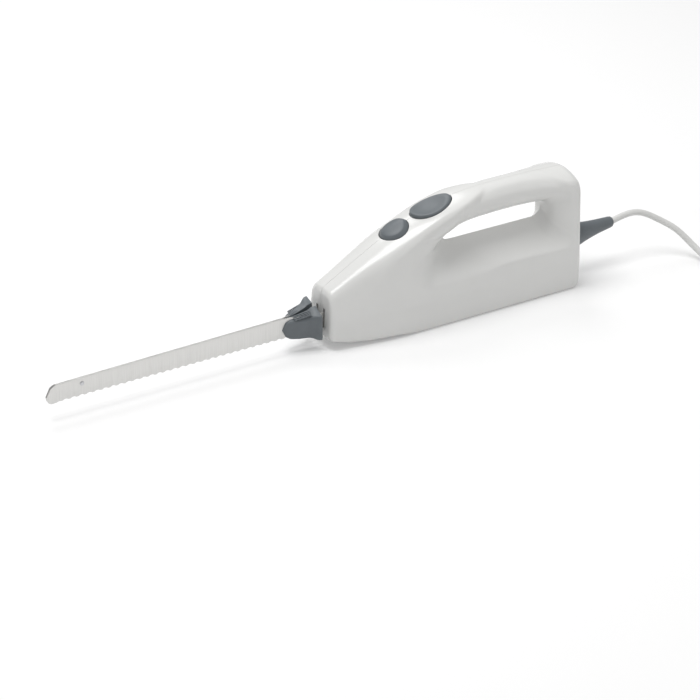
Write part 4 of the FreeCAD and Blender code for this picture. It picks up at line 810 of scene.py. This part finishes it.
def paint_works():
    """Each CAD piece that stays gets the finish of its slot."""
    for part in frame["record"]["subparts"]:
        obj = frame["nodes"][part["node"]]
        obj.data.materials.clear()
        obj.data.materials.append(FINISH[part["material_slot"]])


# ---------------------------------------------------------------- studio
AZIMUTH = math.radians(-31)
ELEVATION = math.radians(28.6)
TARGET = Vector((-0.10645, 0, -0.01445))
DISTANCE = 1.8


def camera():
    back = Vector((math.sin(AZIMUTH) * math.cos(ELEVATION), -math.cos(AZIMUTH) * math.cos(ELEVATION),
                   math.sin(ELEVATION)))
    right = Vector((math.cos(AZIMUTH), math.sin(AZIMUTH), 0))
    up = back.cross(right)
    data = bpy.data.cameras.new("camera")
    data.lens = 115.7
    data.sensor_width = 36
    data.clip_end = 30
    eye = bpy.data.objects.new("camera", data)
    turn = Matrix((right, up, back)).transposed().to_4x4()
    eye.matrix_world = Matrix.Translation(TARGET + back * DISTANCE) @ turn
    bpy.context.scene.collection.objects.link(eye)
    bpy.context.scene.camera = eye


def lamp(name, place, size, power):
    """A round soft lamp turned towards the middle of the knife."""
    data = bpy.data.lights.new(name, "AREA")
    data.shape = "DISK"
    data.size = size
    data.energy = power
    obj = bpy.data.objects.new(name, data)
    obj.location = place
    obj.rotation_euler = (Vector((-0.08, 0, 0.04)) - Vector(place)).to_track_quat("-Z", "Y").to_euler()
    bpy.context.scene.collection.objects.link(obj)


def floor():
    """A pale floor that shows white and keeps the soft shadow."""
    mesh = bpy.data.meshes.new("floor")
    mesh.from_pydata([(-6, -6, 0), (6, -6, 0), (6, 6, 0), (-6, 6, 0)], [], [(0, 1, 2, 3)])
    obj = bpy.data.objects.new("floor", mesh)
    bpy.context.scene.collection.objects.link(obj)
    made = bpy.data.materials.new("pale_floor")
    made.use_nodes = True
    tree = made.node_tree
    shader = tree.nodes["Principled BSDF"]
    shader.inputs["Base Color"].default_value = (0.8, 0.8, 0.8, 1)
    shader.inputs["Roughness"].default_value = 0.7
    glow = tree.nodes.new("ShaderNodeEmission")
    glow.inputs["Strength"].default_value = 0.2
    seen = tree.nodes.new("ShaderNodeLightPath")
    either = tree.nodes.new("ShaderNodeMath")
    either.operation = "MAXIMUM"
    also = tree.nodes.new("ShaderNodeMath")
    also.operation = "MAXIMUM"
    both = tree.nodes.new("ShaderNodeAddShader")
    pick = tree.nodes.new("ShaderNodeMixShader")
    link = tree.links.new
    link(seen.outputs["Is Camera Ray"], either.inputs[0])
    link(seen.outputs["Is Glossy Ray"], either.inputs[1])
    link(either.outputs[0], also.inputs[0])
    link(seen.outputs["Is Transmission Ray"], also.inputs[1])
    link(shader.outputs[0], both.inputs[0])
    link(glow.outputs[0], both.inputs[1])
    link(also.outputs[0], pick.inputs[0])
    link(shader.outputs[0], pick.inputs[1])
    link(both.outputs[0], pick.inputs[2])
    link(pick.outputs[0], tree.nodes["Material Output"].inputs["Surface"])
    mesh.materials.append(made)


def world():
    made = bpy.data.worlds.new("studio")
    made.use_nodes = True
    made.node_tree.nodes["Background"].inputs["Color"].default_value = (1, 1, 1, 1)
    made.node_tree.nodes["Background"].inputs["Strength"].default_value = 0.44
    bpy.context.scene.world = made


bpy.context.scene.view_settings.view_transform = "Standard"
RIB_TREE = rib_tree()
camera()
world()
floor()
lamp("key", (-0.4, 0.1, 1.7), 1.0, 15.5)
lamp("fill", (0.6, -1.5, 0.8), 1.2, 2.0)
lamp("rim", (0.2, 1.2, 1.4), 1.0, 7)
paint_works()
lead = cord()
on_cord = [*plug(), tie()]
housing()
release_button()
trigger()
blades()
tabs()
strain_relief()
housing_screws()
